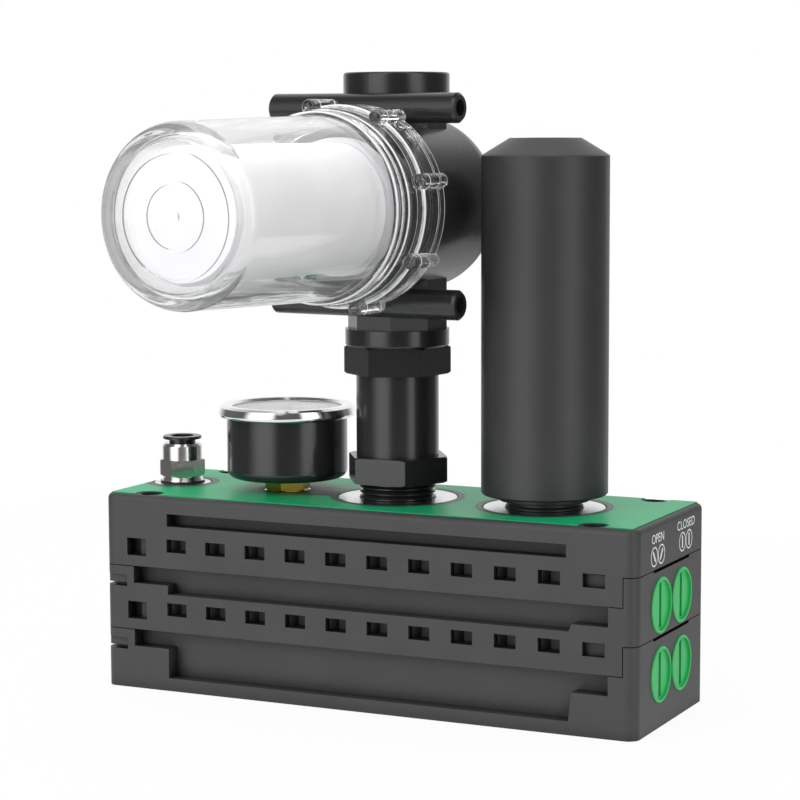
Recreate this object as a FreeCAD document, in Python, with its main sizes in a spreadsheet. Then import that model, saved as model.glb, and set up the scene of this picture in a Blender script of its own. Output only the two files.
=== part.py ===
import FreeCAD, Part
import math
import os
import re
import Sketcher

# A compact multi-stage vacuum ejector: three stacked housings with a fitting, a gauge,
# a check valve with an inline filter, and an exhaust silencer on top.
# Millimetres. Origin at the centre of the underside, X along the housings towards the
# lock end, Y towards the back, Z up.

doc = FreeCAD.newDocument("vacuum_ejector")
sheet = doc.addObject("Spreadsheet::Sheet", "Sizes")
working = doc.addObject("Spreadsheet::Sheet", "Working")
names = []
nodes = []

# Driving sizes
sizes = {
    # Housing stack
    "base_length": 200,
    "base_width": 67,
    "base_height": 69,
    "base_corner": 4,
    "base_edge": 2,
    "joint_gap": 0.3,
    "lower_joint": 31,
    "module_pitch": 22.6,
    "skirt_drop": 10.2,
    "skirt_wall": 2.4,
    "skirt_clearance": 0.3,
    "end_slab": 4.8,
    "relief_width": 35,
    "relief_height": 0.8,
    "relief_depth": 2.5,

    # Front slot, windows, recesses and corner notches
    "slot_left_margin": 25.6,
    "slot_right_margin": 24.4,
    "slot_depth_below_top": 6,
    "slot_height": 4.4,
    "pocket_depth": 5.5,
    "window_left_margin": 25.4,
    "window_right_margin": 10.6,
    "window_pitch": 15.6,
    "window_width": 7.8,
    "window_drop": 4.2,
    "window_rise": 0.4,
    "window_bevel": 2.4,
    "end_window_margin": 9.3,
    "end_window_width": 7.7,
    "end_window_drop": 6.2,
    "end_window_deep": 4.2,
    "recess_left_margin": 11.8,
    "recess_left_step": 13.9,
    "recess_right_margin": 9.7,
    "recess_right_step": 13.8,
    "recess_slant": 1.2,
    "recess_left_drop": 5.8,
    "recess_right_drop": 6.5,
    "upper_recess_drop": 9,
    "lower_recess_drop": 16.2,
    "notch_length": 9,
    "notch_drop": 3.2,
    "notch_height": 4,
    "notch_depth": 1.2,
    "notch_slot": 1.1,
    "notch_slot_depth": 3,
    "notch_wrap": 7,

    # Ports on the centre line
    "feed_margin": 12.5,
    "vacuum_spacing": 43.5,
    "exhaust_spacing": 55.1,
    "vacuum_offset": -0.8,
    "feed_flange": 10.4,
    "feed_hub": 8.6,
    "gauge_flange": 8.4,
    "gauge_hub": 6.6,
    "large_flange": 20.9,
    "large_hub": 16.5,
    "insert_clearance": 0.1,
    "insert_flange_height": 2.8,
    "insert_proud": 0.25,
    "insert_height": 10.5,
    "insert_shoulder": 1.5,
    "spigot_gap": 1.2,
    "feed_passage": 3,
    "gauge_passage": 2,
    "large_passage": 9,
    "gallery_radius": 1.6,
    "gallery_drop": 2.3,
    "large_thread": 13.2,
    "large_thread_root": 12.1,
    "large_thread_pitch": 1.814,
    "thread_clearance": 0.1,
    "feed_thread": 6.5,
    "gauge_thread": 4.86,

    # Label and screws
    "label_thickness": 0.3,
    "label_margin": 2.1,
    "label_notch": 5,
    "label_notch_inset": 4.2,
    "cap_screw_margin": 16.5,
    "cap_screw_inset": 5.2,
    "cap_screw_radius": 1.7,
    "cap_screw_head": 3.1,
    "cap_screw_head_height": 2.4,
    "cap_screw_well": 3.8,
    "cap_screw_well_depth": 4.9,
    "cap_screw_length": 18,
    "screw_clearance": 0.15,
    "screw_shank_gap": 0.25,
    "screw_tip_gap": 1.3,
    "base_screw_margin": 12,
    "base_screw_inset": 9.5,
    "base_screw_radius": 1.7,
    "base_screw_head": 3,
    "base_screw_head_height": 2.2,
    "base_screw_well_depth": 3.4,
    "base_screw_length": 35,
    "driver_radius": 1.5,
    "driver_depth": 1.4,

    # Gaskets
    "gasket_depth": 1,
    "gasket_left_margin": 6,
    "gasket_right_margin": 9,
    "gasket_inset": 12,
    "gasket_margin": 0.5,

    # Cartridge bores and locks
    "bore_radius": 8,
    "bore_offset": 10.1,
    "bore_floor": 12,
    "lower_bore": 17.7,
    "bore_rise": 23.2,
    "chamber_floor": 3,
    "chamber_length": 5.5,
    "chamber_half_width": 12,
    "passage_below_bore": 5,
    "lock_head": 9.4,
    "lock_head_clearance": 0.1,
    "lock_head_depth": 6.8,
    "lock_head_gap": 0.2,
    "lock_proud": 0.5,
    "lock_rim": 1,
    "lock_face_depth": 0.85,
    "lock_rim_chamfer": 0.3,
    "lock_shank": 7,
    "lock_land": 7.85,
    "lock_land_margin": 14,
    "lock_land_length": 6,
    "lock_slot_length": 15,
    "lock_slot_width": 2.2,
    "lock_slot_depth": 3.5,
    "lug_radius": 8.8,
    "lug_half_width": 1.8,
    "lug_margin": 9.3,
    "lug_length": 2.4,
    "lug_clearance": 0.2,
    "undercut_gap": 0.3,
    "entry_angle": 45,
    "seal_groove_depth": 1.45,
    "seal_groove_width": 2.4,
    "seal_thickness": 1.56,

    # Ejector cartridges
    "cartridge_inlet": 3.4,
    "cartridge_lock_gap": 0.4,
    "cartridge_radius": 6.4,
    "cartridge_land": 7.85,
    "cartridge_land_length": 8,
    "feed_seal_inset": 10.6,
    "part_seal_inset": 6,
    "end_land_length": 7.6,
    "nozzle_length": 18.6,
    "nozzle_throat_inset": 10.6,
    "nozzle_seat": 4.2,
    "stage_chamber": 5,
    "first_stage_length": 18,
    "stage_length": 16,
    "stage_pitch": 35,
    "first_throat": 1.8,
    "throat_growth": 0.6,
    "outlet_radius": 4.5,
    "outlet_before": 10.3,
    "outlet_after": 11.7,
    "outlet_window_half_length": 6.5,
    "outlet_window_half": 3,
    "suction_hole": 1.6,
    "flap_gap": 0.05,
    "flap_wall": 0.7,
    "flap_length": 9,
    "nozzle_clearance": 0.05,
    "nozzle_inlet": 3.2,
    "nozzle_throat": 0.7,
    "nozzle_outlet": 1.1,

    # Feed fitting
    "fitting_seat_seal_radius": 8,
    "fitting_seat_seal_height": 0.35,
    "fitting_flare": 7.6,
    "fitting_flare_height": 2.35,
    "fitting_hex_height": 6.1,
    "fitting_hex_flats": 14,
    "fitting_body": 7.2,
    "fitting_body_height": 5,
    "fitting_edge": 0.9,
    "tube_radius": 4,
    "tube_clearance": 0.1,
    "tube_stop_height": 2,
    "collet_neck": 4.75,
    "collet_flange": 7,
    "collet_travel_gap": 1.5,
    "collet_flange_height": 1.1,
    "collet_reach": 7.4,
    "collet_clearance": 0.08,
    "fitting_chamber": 5.6,
    "fitting_chamber_height": 6.6,
    "grip_ring_gap": 0.3,
    "grip_ring_height": 0.7,
    "tube_seal_step": 0.9,
    "tube_seal_height": 1.9,

    # Gauge
    "stem_flats": 14,
    "stem_turn": 11,
    "stem_hex_height": 4.55,
    "stem_neck": 3.9,
    "stem_neck_height": 6.2,
    "case_radius": 21.35,
    "case_wall": 1.5,
    "case_round": 3,
    "case_height": 23.4,
    "case_hole": 4,
    "bezel_radius": 24.3,
    "bezel_skirt": 1.8,
    "bezel_wide_drop": 0.2,
    "bezel_height": 2.55,
    "bezel_top_radius": 22.8,
    "bezel_lip": 19.5,
    "bezel_gap": 0.1,
    "window_radius": 21.1,
    "window_thickness": 1.7,
    "dial_radius": 19.6,
    "dial_drop": 5.8,
    "dial_thickness": 0.5,
    "dial_hole": 1.2,
    "movement_radius": 9,
    "arm_length": 14.5,
    "arm_width": 4,
    "tube_ring_radius": 13,
    "tube_ring_wall": 2,
    "tube_ring_rise": 8.2,
    "tube_ring_height": 5,
    "tube_ring_sweep": 265,
    "pointer_rise": 1.6,
    "pointer_thickness": 0.5,
    "pointer_reach": 16.5,
    "pointer_tail": 5.5,
    "pointer_width": 1.6,
    "pointer_hub": 1.9,
    "pointer_hub_height": 1.6,
    "arbor_radius": 0.6,
    "arbor_length": 5.4,
    "arbor_clearance": 0.1,
    "pointer_turn": 45,

    # Check valve
    "valve_hex_gap": 5.85,
    "valve_hex_height": 9,
    "valve_hex_flats": 32,
    "valve_hex_turn": 33.3,
    "valve_tube": 14.3,
    "valve_tube_height": 28.4,
    "valve_nut_height": 9.6,
    "valve_nut_turn": 6.7,
    "valve_bore": 10,
    "valve_chamber": 12.4,
    "valve_chamber_rise": 9.9,
    "nut_spigot": 12.3,
    "nut_spigot_length": 8.5,
    "nut_bore": 9.5,
    "nut_seat": 8,
    "nut_seat_height": 3,
    "upper_spigot_length": 10.9,
    "hex_edge": 0.5,
    "guide_radius": 12.3,
    "guide_height": 3.5,
    "guide_bore": 2.15,
    "guide_port": 3.1,
    "guide_port_circle": 7.9,
    "poppet_radius": 10.2,
    "poppet_thickness": 2.6,
    "poppet_stem": 2,
    "poppet_stem_length": 19,
    "poppet_seal_height": 1,
    "poppet_gap": 0.05,
    "spring_radius": 6.6,
    "spring_wire": 0.5,
    "spring_turns": 5,

    # Silencer
    "silencer_radius": 21.5,
    "silencer_gap": 4.55,
    "silencer_height": 119.7,
    "silencer_cone_height": 5.4,
    "silencer_top_radius": 12.05,
    "silencer_wall": 2,
    "silencer_outlet": 8,
    "silencer_neck": 15.7,
    "silencer_neck_drop": 2,
    "silencer_chamfer": 0.6,
    "silencer_flange_height": 3,
    "silencer_fit": 0.2,
    "liner_bore": 8.5,

    # Filter
    "filter_turn": 95,
    "head_radius": 30,
    "head_face": 25.3,
    "head_shoulder_s": -12.5,
    "dome_depth": 20,
    "dome_shoulder": 15,
    "neck_step": 2.2,
    "neck_length": 15.2,
    "neck_groove_start": 5.7,
    "neck_groove_width": 2.6,
    "neck_groove_depth": 1.7,
    "neck_thread_gap": 0.4,
    "neck_thread_pitch": 2.1,
    "neck_thread_depth": 1,
    "port_neck_flats": 31.8,
    "port_collar_top": 44.7,
    "port_collar_bottom": 36,
    "port_collar_radius": 18.2,
    "lower_collar_top": 42.8,
    "lower_collar_bottom": 48.9,
    "lower_collar_radius": 18,
    "collar_round": 1,
    "port_depth": 14,
    "bar_s": 20.2,
    "bar_level": 32.5,
    "bar_radius": 5.05,
    "bar_length": 72.6,
    "bar_hole": 2.75,
    "bar_chamfer": 0.8,
    "ring_inner": 17,
    "ring_outer": 24.5,
    "ring_start_angle": 10,
    "centre_bore": 10,
    "head_hollow_start": -11,
    "bowl_gap": 0.3,
    "bowl_clearance": 0.5,
    "bowl_length": 105.4,
    "flange_length": 13,
    "flange_step": 5.5,
    "step_length": 7.4,
    "step_height": 2.2,
    "bead_length": 6.7,
    "bead_height": 1.5,
    "bead_round": 1.2,
    "bowl_edge": 0.6,
    "bowl_radius": 30.3,
    "bowl_taper": 1.6,
    "bowl_round": 3.5,
    "bowl_wall": 3.5,
    "bowl_floor": 4.1,
    "bowl_bore_length": 20.9,
    "bowl_face_radius": 23.5,
    "bowl_face_depth": 0.6,
    "bowl_ring_outer": 20,
    "bowl_ring_inner": 11,
    "bowl_ring_width": 1,
    "bowl_ring_height": 0.5,
    "bowl_nub": 2,
    "bowl_lug_rise": 0.3,
    "bowl_lug_radius": 2.6,
    "bowl_lug_length": 17.9,
    "bowl_lug_angle": 30,
    "bowl_lug_count": 8,
    "bowl_lug_round": 2,
    "bowl_seal_thickness": 2.1,
    "socket_disc": 22.9,
    "socket_disc_height": 2.7,
    "socket_sleeve": 3,
    "socket_spigot_clearance": 0.1,
    "socket_spigot_length": 12,
    "socket_bore": 8,
    "element_radius": 21.3,
    "element_bore": 12.5,
    "element_end_gap": 8,
    "element_cap_thickness": 2.6,
    "element_cap_lip": 6,
    "element_gap": 0.1,
}

# Places and sizes that follow from the driving sizes
formulas = {
    # Housing stack
    "end_x": "base_length / 2",
    "half_width": "base_width / 2",
    "upper_joint": "lower_joint + module_pitch",
    "skirt_end": "end_x - end_slab",
    "lower_ledge": "lower_joint - skirt_drop",
    "upper_ledge": "upper_joint - skirt_drop",
    "slot_left": "slot_left_margin - end_x",
    "slot_right": "end_x - slot_right_margin",
    "slot_top": "base_height - slot_depth_below_top",
    "slot_bottom": "slot_top - slot_height",
    "pocket_back": "pocket_depth - half_width",
    "window_first": "window_left_margin - end_x",
    "window_row": "base_length - window_left_margin - window_right_margin - window_width",
    "window_count": "floor(window_row / window_pitch) + 1",
    "end_window_left": "end_window_margin - end_x",
    "end_window_right": "end_window_left + end_window_width",
    "recess_left": "recess_left_margin - end_x",
    "recess_step_left": "recess_left + recess_left_step",
    "recess_right": "end_x - recess_right_margin",
    "recess_step_right": "recess_right - recess_right_step",
    "notch_end": "notch_length - end_x",

    # Ports, label, screws and gaskets
    "feed_x": "feed_margin - end_x",
    "vacuum_x": "vacuum_offset",
    "gauge_x": "vacuum_x - vacuum_spacing",
    "exhaust_x": "vacuum_x + exhaust_spacing",
    "insert_bottom": "base_height - insert_height",
    "insert_seat": "insert_bottom + insert_shoulder",
    "spigot_end": "insert_seat + spigot_gap",
    "seat_top": "base_height + insert_proud",
    "gallery_height": "insert_bottom - gallery_drop",
    "label_notch_y": "half_width - label_notch_inset",
    "cap_screw_x": "end_x - cap_screw_margin",
    "cap_screw_y": "half_width - cap_screw_inset",
    "base_screw_x": "end_x - base_screw_margin",
    "base_screw_y": "half_width - base_screw_inset",
    "gasket_left": "gasket_left_margin - end_x",
    "gasket_right": "end_x - gasket_right_margin",
    "gasket_half": "half_width - gasket_inset",

    # Cartridge bores, locks and cartridges
    "bore_end": "bore_floor - end_x",
    "upper_bore": "lower_bore + bore_rise",
    "chamber_right": "bore_end + chamber_floor",
    "lock_land_end": "end_x - lock_land_margin",
    "lock_land_start": "lock_land_end - lock_land_length",
    "lock_seal_x": "(lock_land_start + lock_land_end) / 2",
    "lug_start": "end_x - lug_margin - lug_length",
    "cartridge_left": "bore_end + cartridge_inlet",
    "cartridge_right": "lock_land_start - cartridge_lock_gap",
    "feed_seal_x": "cartridge_left + feed_seal_inset",
    "end_land_start": "cartridge_right - end_land_length",
    "nozzle_end": "cartridge_left + nozzle_length",
    "nozzle_throat_x": "cartridge_left + nozzle_throat_inset",
    "first_stage_end": "nozzle_end + first_stage_length",
    "outlet_left": "exhaust_x - outlet_before",
    "outlet_right": "exhaust_x + outlet_after",
    "outlet_window_left": "exhaust_x - outlet_window_half_length",
    "outlet_window_right": "exhaust_x + outlet_window_half_length",
    "part_seal_x": "outlet_left - part_seal_inset",

    # Feed fitting
    "flare_low": "seat_top + fitting_seat_seal_height",
    "fitting_hex_bottom": "seat_top + fitting_flare_height",
    "fitting_hex_top": "fitting_hex_bottom + fitting_hex_height",
    "fitting_shoulder": "fitting_hex_top + fitting_body_height",
    "fitting_top": "fitting_shoulder + fitting_edge",
    "tube_stop": "base_height + tube_stop_height",
    "tube_seal_bottom": "tube_stop + tube_seal_step",
    "grip_ring_bottom": "tube_seal_bottom + tube_seal_height + grip_ring_gap",
    "fitting_chamber_top": "tube_seal_bottom + fitting_chamber_height",
    "collet_flange_bottom": "fitting_top + collet_travel_gap",
    "collet_flange_top": "collet_flange_bottom + collet_flange_height",
    "collet_end": "fitting_top - collet_reach",

    # Gauge
    "case_bottom": "seat_top + stem_hex_height",
    "case_top": "case_bottom + case_height",
    "stem_top": "case_bottom + stem_neck_height",
    "bezel_bottom": "case_top - bezel_skirt",
    "bezel_wide": "case_top - bezel_wide_drop",
    "bezel_top": "case_top + bezel_height",
    "window_top": "case_top + window_thickness",
    "dial_bottom": "case_top - dial_drop",
    "tube_ring_bottom": "case_bottom + tube_ring_rise",
    "pointer_level": "dial_bottom + pointer_rise",
    "arbor_bottom": "dial_bottom - arbor_length",

    # Check valve and silencer
    "valve_hex_bottom": "seat_top + valve_hex_gap",
    "valve_hex_top": "valve_hex_bottom + valve_hex_height",
    "valve_tube_top": "valve_hex_top + valve_tube_height",
    "valve_nut_top": "valve_tube_top + valve_nut_height",
    "valve_chamber_bottom": "valve_hex_bottom + valve_chamber_rise",
    "nut_bottom": "valve_tube_top - nut_spigot_length",
    "upper_spigot_top": "valve_nut_top + upper_spigot_length",
    "silencer_bottom": "seat_top + silencer_gap",
    "silencer_neck_bottom": "silencer_bottom - silencer_neck_drop",
    "silencer_top": "silencer_bottom + silencer_height",
    "silencer_shoulder": "silencer_top - silencer_cone_height",

    # Filter
    "filter_level": "valve_nut_top + lower_collar_bottom",
    "dome_crown_rise": "dome_depth ^ 2 + (head_radius - dome_shoulder) ^ 2 - dome_shoulder ^ 2",
    "dome_crown": "dome_crown_rise / (2 * (dome_depth - dome_shoulder))",
    "dome_join_s": "(dome_crown - dome_depth) * dome_shoulder / (dome_crown - dome_shoulder)",
    "dome_join_r": "dome_crown * (head_radius - dome_shoulder) / (dome_crown - dome_shoulder)",
    "neck_radius": "head_radius - neck_step",
    "neck_end": "head_face + neck_length",
    "neck_groove": "head_face + neck_groove_start",
    "neck_thread_start": "neck_groove + neck_groove_width + neck_thread_gap",
    "flange_start": "head_face + bowl_gap",
    "flange_end": "flange_start + flange_length",
    "step_end": "flange_end + step_length",
    "bead_end": "step_end + bead_length",
    "bowl_end": "flange_start + bowl_length",
    "bowl_shoulder": "flange_start + bowl_bore_length",
    "bowl_bore": "neck_radius + bowl_clearance",
    "flange_radius": "bowl_bore + flange_step",
    "step_radius": "bowl_radius + step_height",
    "bead_radius": "bowl_radius + bead_height",
    "bowl_end_radius": "bowl_radius - bowl_taper",
    "bowl_inner_end": "bowl_end - bowl_floor",
    "bowl_lug_reach": "flange_radius + bowl_lug_rise",
    "socket_spigot": "centre_bore - socket_spigot_clearance",
    "socket_spigot_start": "neck_end - socket_spigot_length",
    "socket_disc_end": "neck_end + socket_disc_height",
    "socket_sleeve_end": "socket_disc_end + socket_sleeve",
    "element_start": "socket_disc_end + element_gap",
    "element_end": "bowl_end - element_end_gap",
}

for alias, entry in sizes.items():
    names.append(alias)
    sheet.set("A%d" % len(names), alias)
    sheet.set("B%d" % len(names), str(entry))
    sheet.setAlias("B%d" % len(names), alias)
for alias, entry in formulas.items():
    names.append(alias)
    sheet.set("A%d" % len(names), alias)
    sheet.set("B%d" % len(names), "=" + entry)
    sheet.setAlias("B%d" % len(names), alias)


def bound(text):
    def swap(found):
        word = found.group()
        return "Sizes." + word if word in names else word
    return re.sub(r"[A-Za-z_][A-Za-z0-9_]*", swap, text)


def value(text):
    working.set("A1", "=" + bound(text))
    working.recompute()
    return float(working.get("A1"))


doc.recompute()


# Sketches: every corner and centre is pinned to the origin by a size

def origin_item(body, role):
    return [item for item in body.Origin.OriginFeatures if item.Role == role][0]


def arc_between(first, last, radius):
    chord = last - first
    rise = math.sqrt(max(radius * radius - chord.Length * chord.Length / 4, 0))
    side = FreeCAD.Vector(-chord.y, chord.x, 0)
    side.normalize()
    centre = (first + last) * 0.5 + side * math.copysign(rise, radius)
    ends = (first, last) if radius > 0 else (last, first)
    angles = [math.atan2(end.y - centre.y, end.x - centre.x) for end in ends]
    ring = Part.Circle(centre, FreeCAD.Vector(0, 0, 1), abs(radius))
    return Part.ArcOfCircle(ring, angles[0], angles[1])


def draw_loop(drawn, points):
    first = drawn.GeometryCount
    spots = [FreeCAD.Vector(value(item[0]), value(item[1]), 0) for item in points]
    count = len(points)
    begins = []
    ends = []
    shapes = []
    for index, item in enumerate(points):
        here = spots[index]
        there = spots[(index + 1) % count]
        backwards = False
        if len(item) == 3:
            radius = value(item[2])
            backwards = radius < 0
            shapes.append(arc_between(here, there, radius))
        else:
            shapes.append(Part.LineSegment(here, there))
        begins.append(2 if backwards else 1)
        ends.append(1 if backwards else 2)
    drawn.addGeometry(shapes, False)
    pins = []
    texts = []
    for index, item in enumerate(points):
        after = (index + 1) % count
        pins.append(Sketcher.Constraint("Coincident", first + index, ends[index],
                                        first + after, begins[after]))
        texts.append(None)
        for kind, reach, text in (("DistanceX", spots[index].x, item[0]),
                                  ("DistanceY", spots[index].y, item[1])):
            pins.append(Sketcher.Constraint(kind, -1, 1, first + index, begins[index], reach))
            texts.append(text)
        if len(item) == 3:
            pins.append(Sketcher.Constraint("Radius", first + index, abs(value(item[2]))))
            texts.append(item[2].lstrip("-"))
    bind(drawn, pins, texts)


def draw_circle(drawn, across, up, radius):
    index = drawn.GeometryCount
    centre = FreeCAD.Vector(value(across), value(up), 0)
    drawn.addGeometry(Part.Circle(centre, FreeCAD.Vector(0, 0, 1), value(radius)), False)
    pins = [Sketcher.Constraint("DistanceX", -1, 1, index, 3, centre.x),
            Sketcher.Constraint("DistanceY", -1, 1, index, 3, centre.y),
            Sketcher.Constraint("Radius", index, value(radius))]
    bind(drawn, pins, [across, up, radius])


def bind(drawn, pins, texts):
    start = drawn.ConstraintCount
    drawn.addConstraint(pins)
    for index, text in enumerate(texts):
        if text is not None:
            drawn.setExpression("Constraints[%d]" % (start + index), bound(text))


def sketch(body, name, plane, offset, loops):
    drawn = body.newObject("Sketcher::SketchObject", name + "_outline")
    drawn.AttachmentSupport = (origin_item(body, plane + "_Plane"), "")
    drawn.MapMode = "FlatFace"
    drawn.setExpression("AttachmentOffset.Base.z", bound(offset))
    for loop in loops:
        if loop[0] == "circle":
            draw_circle(drawn, *loop[1:])
        else:
            draw_loop(drawn, loop)
    return drawn


def circle(across, up, radius):
    return ("circle", across, up, radius)


def box(left, right, low, high):
    return [(left, low), (right, low), (right, high), (left, high)]


# Features inside a body

def new_body(label, spot=("0", "0", "0"), turn=None):
    body = doc.addObject("PartDesign::Body", label)
    body.Label = label
    if turn:
        axis = FreeCAD.Vector(0, 0, -1)
        body.Placement = FreeCAD.Placement(FreeCAD.Vector(), FreeCAD.Rotation(axis, 10))
        body.setExpression("Placement.Rotation.Angle", bound(turn))
    for axis, text in zip("xyz", spot):
        body.setExpression("Placement.Base." + axis, bound(text))
    return body


def extrude(kind, body, name, plane, offset, loops, length, back, both):
    drawn = sketch(body, name, plane, offset, loops)
    made = body.newObject("PartDesign::" + kind, name)
    made.Profile = drawn
    made.setExpression("Length", bound(length))
    made.Reversed = back
    made.Midplane = both
    body.Tip = made
    return made


def pad(body, name, plane, offset, loops, length, back=False, both=False):
    return extrude("Pad", body, name, plane, offset, loops, length, back, both)


def pocket(body, name, plane, offset, loops, depth, back=False, both=False):
    return extrude("Pocket", body, name, plane, offset, loops, depth, back, both)


def turned(body, name, plane, axis, loops, kind="Revolution", sweep="360"):
    drawn = sketch(body, name, plane, "0", loops)
    made = body.newObject("PartDesign::" + kind, name)
    made.Profile = drawn
    made.ReferenceAxis = (drawn, [axis])
    made.setExpression("Angle", bound(sweep))
    body.Tip = made
    return made


def lathe(label, points, spot=("0", "0", "0")):
    body = new_body(label, spot)
    turned(body, label + "_turned", "XZ", "V_Axis", [points])
    return body


def dress(kind, body, name, reach, chosen):
    doc.recompute()
    before = body.Tip
    edges = before.Shape.Edges
    picked = ["Edge%d" % (index + 1) for index, edge in enumerate(edges) if chosen(edge)]
    made = body.newObject("PartDesign::" + kind, name)
    made.Base = (before, picked)
    made.setExpression("Radius" if kind == "Fillet" else "Size", bound(reach))
    body.Tip = made
    return made


def row(body, name, source, role, length, count):
    made = body.newObject("PartDesign::LinearPattern", name)
    made.Originals = [source]
    made.Direction = (origin_item(body, role), [""])
    made.setExpression("Length", bound(length))
    made.setExpression("Occurrences", bound(count))
    body.Tip = made
    return made


def ring(body, name, source, role, count):
    made = body.newObject("PartDesign::PolarPattern", name)
    made.Originals = [source]
    made.Axis = (origin_item(body, role), [""])
    made.Angle = 360
    made.setExpression("Occurrences", bound(count))
    body.Tip = made
    return made


def hexagon(flats, turn):
    reach = "%s / 2 / cos(30)" % flats
    corners = []
    for index in range(6):
        angle = "(%s + %d)" % (turn, 60 * index)
        corners.append(("%s * cos(%s)" % (reach, angle), "%s * sin(%s)" % (reach, angle)))
    return corners


def hex_bevel(body, name, low, high, flats):
    corner = "%s / 2 / cos(30)" % flats
    inner = corner + " - hex_edge / tan(30)"
    for tag, level, step in (("low", low, "+"), ("high", high, "-")):
        edge = "%s %s hex_edge" % (level, step)
        triangle = [(inner, level), (corner + " + 1", level),
                    (corner + " + 1", "%s %s tan(30)" % (edge, step)), (corner, edge)]
        turned(body, "%s_%s" % (name, tag), "XZ", "V_Axis", [triangle], "Groove")


def thread(start, pitch, count, crest, root):
    points = []
    for index in range(count):
        points.append((root, "%s + %s * %d" % (start, pitch, index)))
        points.append((crest, "%s + %s * (%d + 0.4)" % (start, pitch, index)))
        points.append((crest, "%s + %s * (%d + 0.6)" % (start, pitch, index)))
    points.append((root, "%s + %s * %d" % (start, pitch, count)))
    return points


def node(made):
    nodes.append(made)
    return made


def group(label, bodies):
    made = doc.addObject("Part::Compound", label)
    made.Label = label
    made.Links = bodies
    return node(made)


def near(first, second):
    return abs(first - second) < 0.01


def curved_like(edge, kind):
    return not edge.Degenerated and isinstance(edge.Curve, kind)


def upright(edge):
    ends = [vertex.Point for vertex in edge.Vertexes]
    return len(ends) == 2 and near(ends[0].x, ends[1].x) and near(ends[0].y, ends[1].y)


def outer_corner(edge):
    spot = edge.Vertexes[0].Point
    reach = (value("end_x"), value("half_width"))
    return upright(edge) and near(abs(spot.x), reach[0]) and near(abs(spot.y), reach[1])


# Housings

def housing_outline():
    return box("-end_x", "end_x", "-half_width", "half_width")


def skirt_inside():
    left = "skirt_wall - end_x"
    side = "half_width - skirt_wall"
    return [(left, "-(" + side + ")"), ("skirt_end", "-(" + side + ")"),
            ("skirt_end", "-half_width - 1"), ("end_x + 1", "-half_width - 1"),
            ("end_x + 1", "half_width + 1"), ("skirt_end", "half_width + 1"),
            ("skirt_end", side), (left, side)]


def block_outline():
    left = "skirt_wall + skirt_clearance - end_x"
    side = "half_width - skirt_wall - skirt_clearance"
    slab = "skirt_end + skirt_clearance"
    return [(left, "-(" + side + ")"), (slab, "-(" + side + ")"), (slab, "-half_width"),
            ("end_x", "-half_width"), ("end_x", "half_width"), (slab, "half_width"),
            (slab, side), (left, side)]


def windows(body, tag, joint, top, count):
    low = "%s - window_drop" % joint
    right = "window_first + window_width"
    loop = [("window_first", "-half_width - 1"), (right, "-half_width - 1"),
            (right, "pocket_back"), ("window_first + window_bevel", "pocket_back"),
            ("window_first", "pocket_back - window_bevel")]
    cut = pocket(body, tag + "_window", "XY", top, [loop], "%s - (%s)" % (top, low))
    row(body, tag + "_windows", cut, "X_Axis", "window_pitch * (%s - 1)" % count, count)


def skirt_cuts(body, tag, joint):
    ledge = "%s - skirt_drop + joint_gap" % joint
    pocket(body, tag + "_inside", "XY", ledge, [skirt_inside()], "skirt_drop - joint_gap", True)


def skirt_windows(body, tag, joint):
    windows(body, tag, joint, "%s + window_rise" % joint, "window_count")
    loop = box("end_window_left", "end_window_right", "-half_width - 1",
               "skirt_wall - half_width")
    pocket(body, tag + "_end_window", "XY", joint, [loop], "end_window_drop")


def module_features(body, tag, joint, ledge, bore, drop):
    top = "%s - joint_gap" % joint
    pad(body, tag + "_block", "XY", ledge, [block_outline()], "%s - (%s)" % (top, ledge))
    dress("Fillet", body, tag + "_corners", "base_corner", outer_corner)
    windows(body, tag + "_block", joint, top, "(window_count - 1)")
    loop = box("end_window_left", "end_window_left + end_window_deep", "-half_width - 1",
               "pocket_back")
    pocket(body, tag + "_deep_window", "XY", top, [loop], "end_window_drop - joint_gap")
    floor = "%s - %s" % (ledge, drop)
    left_floor = "%s - recess_left_drop" % ledge
    right_floor = "%s - recess_right_drop" % ledge
    recess = [("recess_left", ledge), ("recess_left", left_floor),
              ("recess_step_left", left_floor), ("recess_step_left", floor),
              ("recess_step_right", floor), ("recess_step_right + recess_slant", right_floor),
              ("recess_right", right_floor), ("recess_right", ledge)]
    pocket(body, tag + "_recess", "XZ", "half_width", [recess], "pocket_depth")
    notch_top = "%s - notch_drop" % ledge
    notch_low = "%s - notch_height" % notch_top
    for part, high, depth in (("notch", notch_top, "notch_depth"),
                              ("notch_slot", notch_low + " + notch_slot", "notch_slot_depth")):
        loop = [("-end_x - 1", "-half_width - 1"), ("notch_end", "-half_width - 1"),
                ("notch_end", "%s - half_width" % depth),
                ("%s - end_x" % depth, "%s - half_width" % depth),
                ("%s - end_x" % depth, "notch_wrap - half_width"),
                ("-end_x - 1", "notch_wrap - half_width")]
        pocket(body, "%s_%s" % (tag, part), "XY", high, [loop],
               "%s - (%s)" % (high, notch_low))
    pocket(body, tag + "_relief", "YZ", "end_x",
           [box("-relief_width / 2", "relief_width / 2", "%s - relief_height" % top, top)],
           "relief_depth")
    bores(body, tag, bore)
    large = [circle("vacuum_x", "0", "large_passage"), circle("exhaust_x", "0", "large_passage")]
    return top, large


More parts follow.
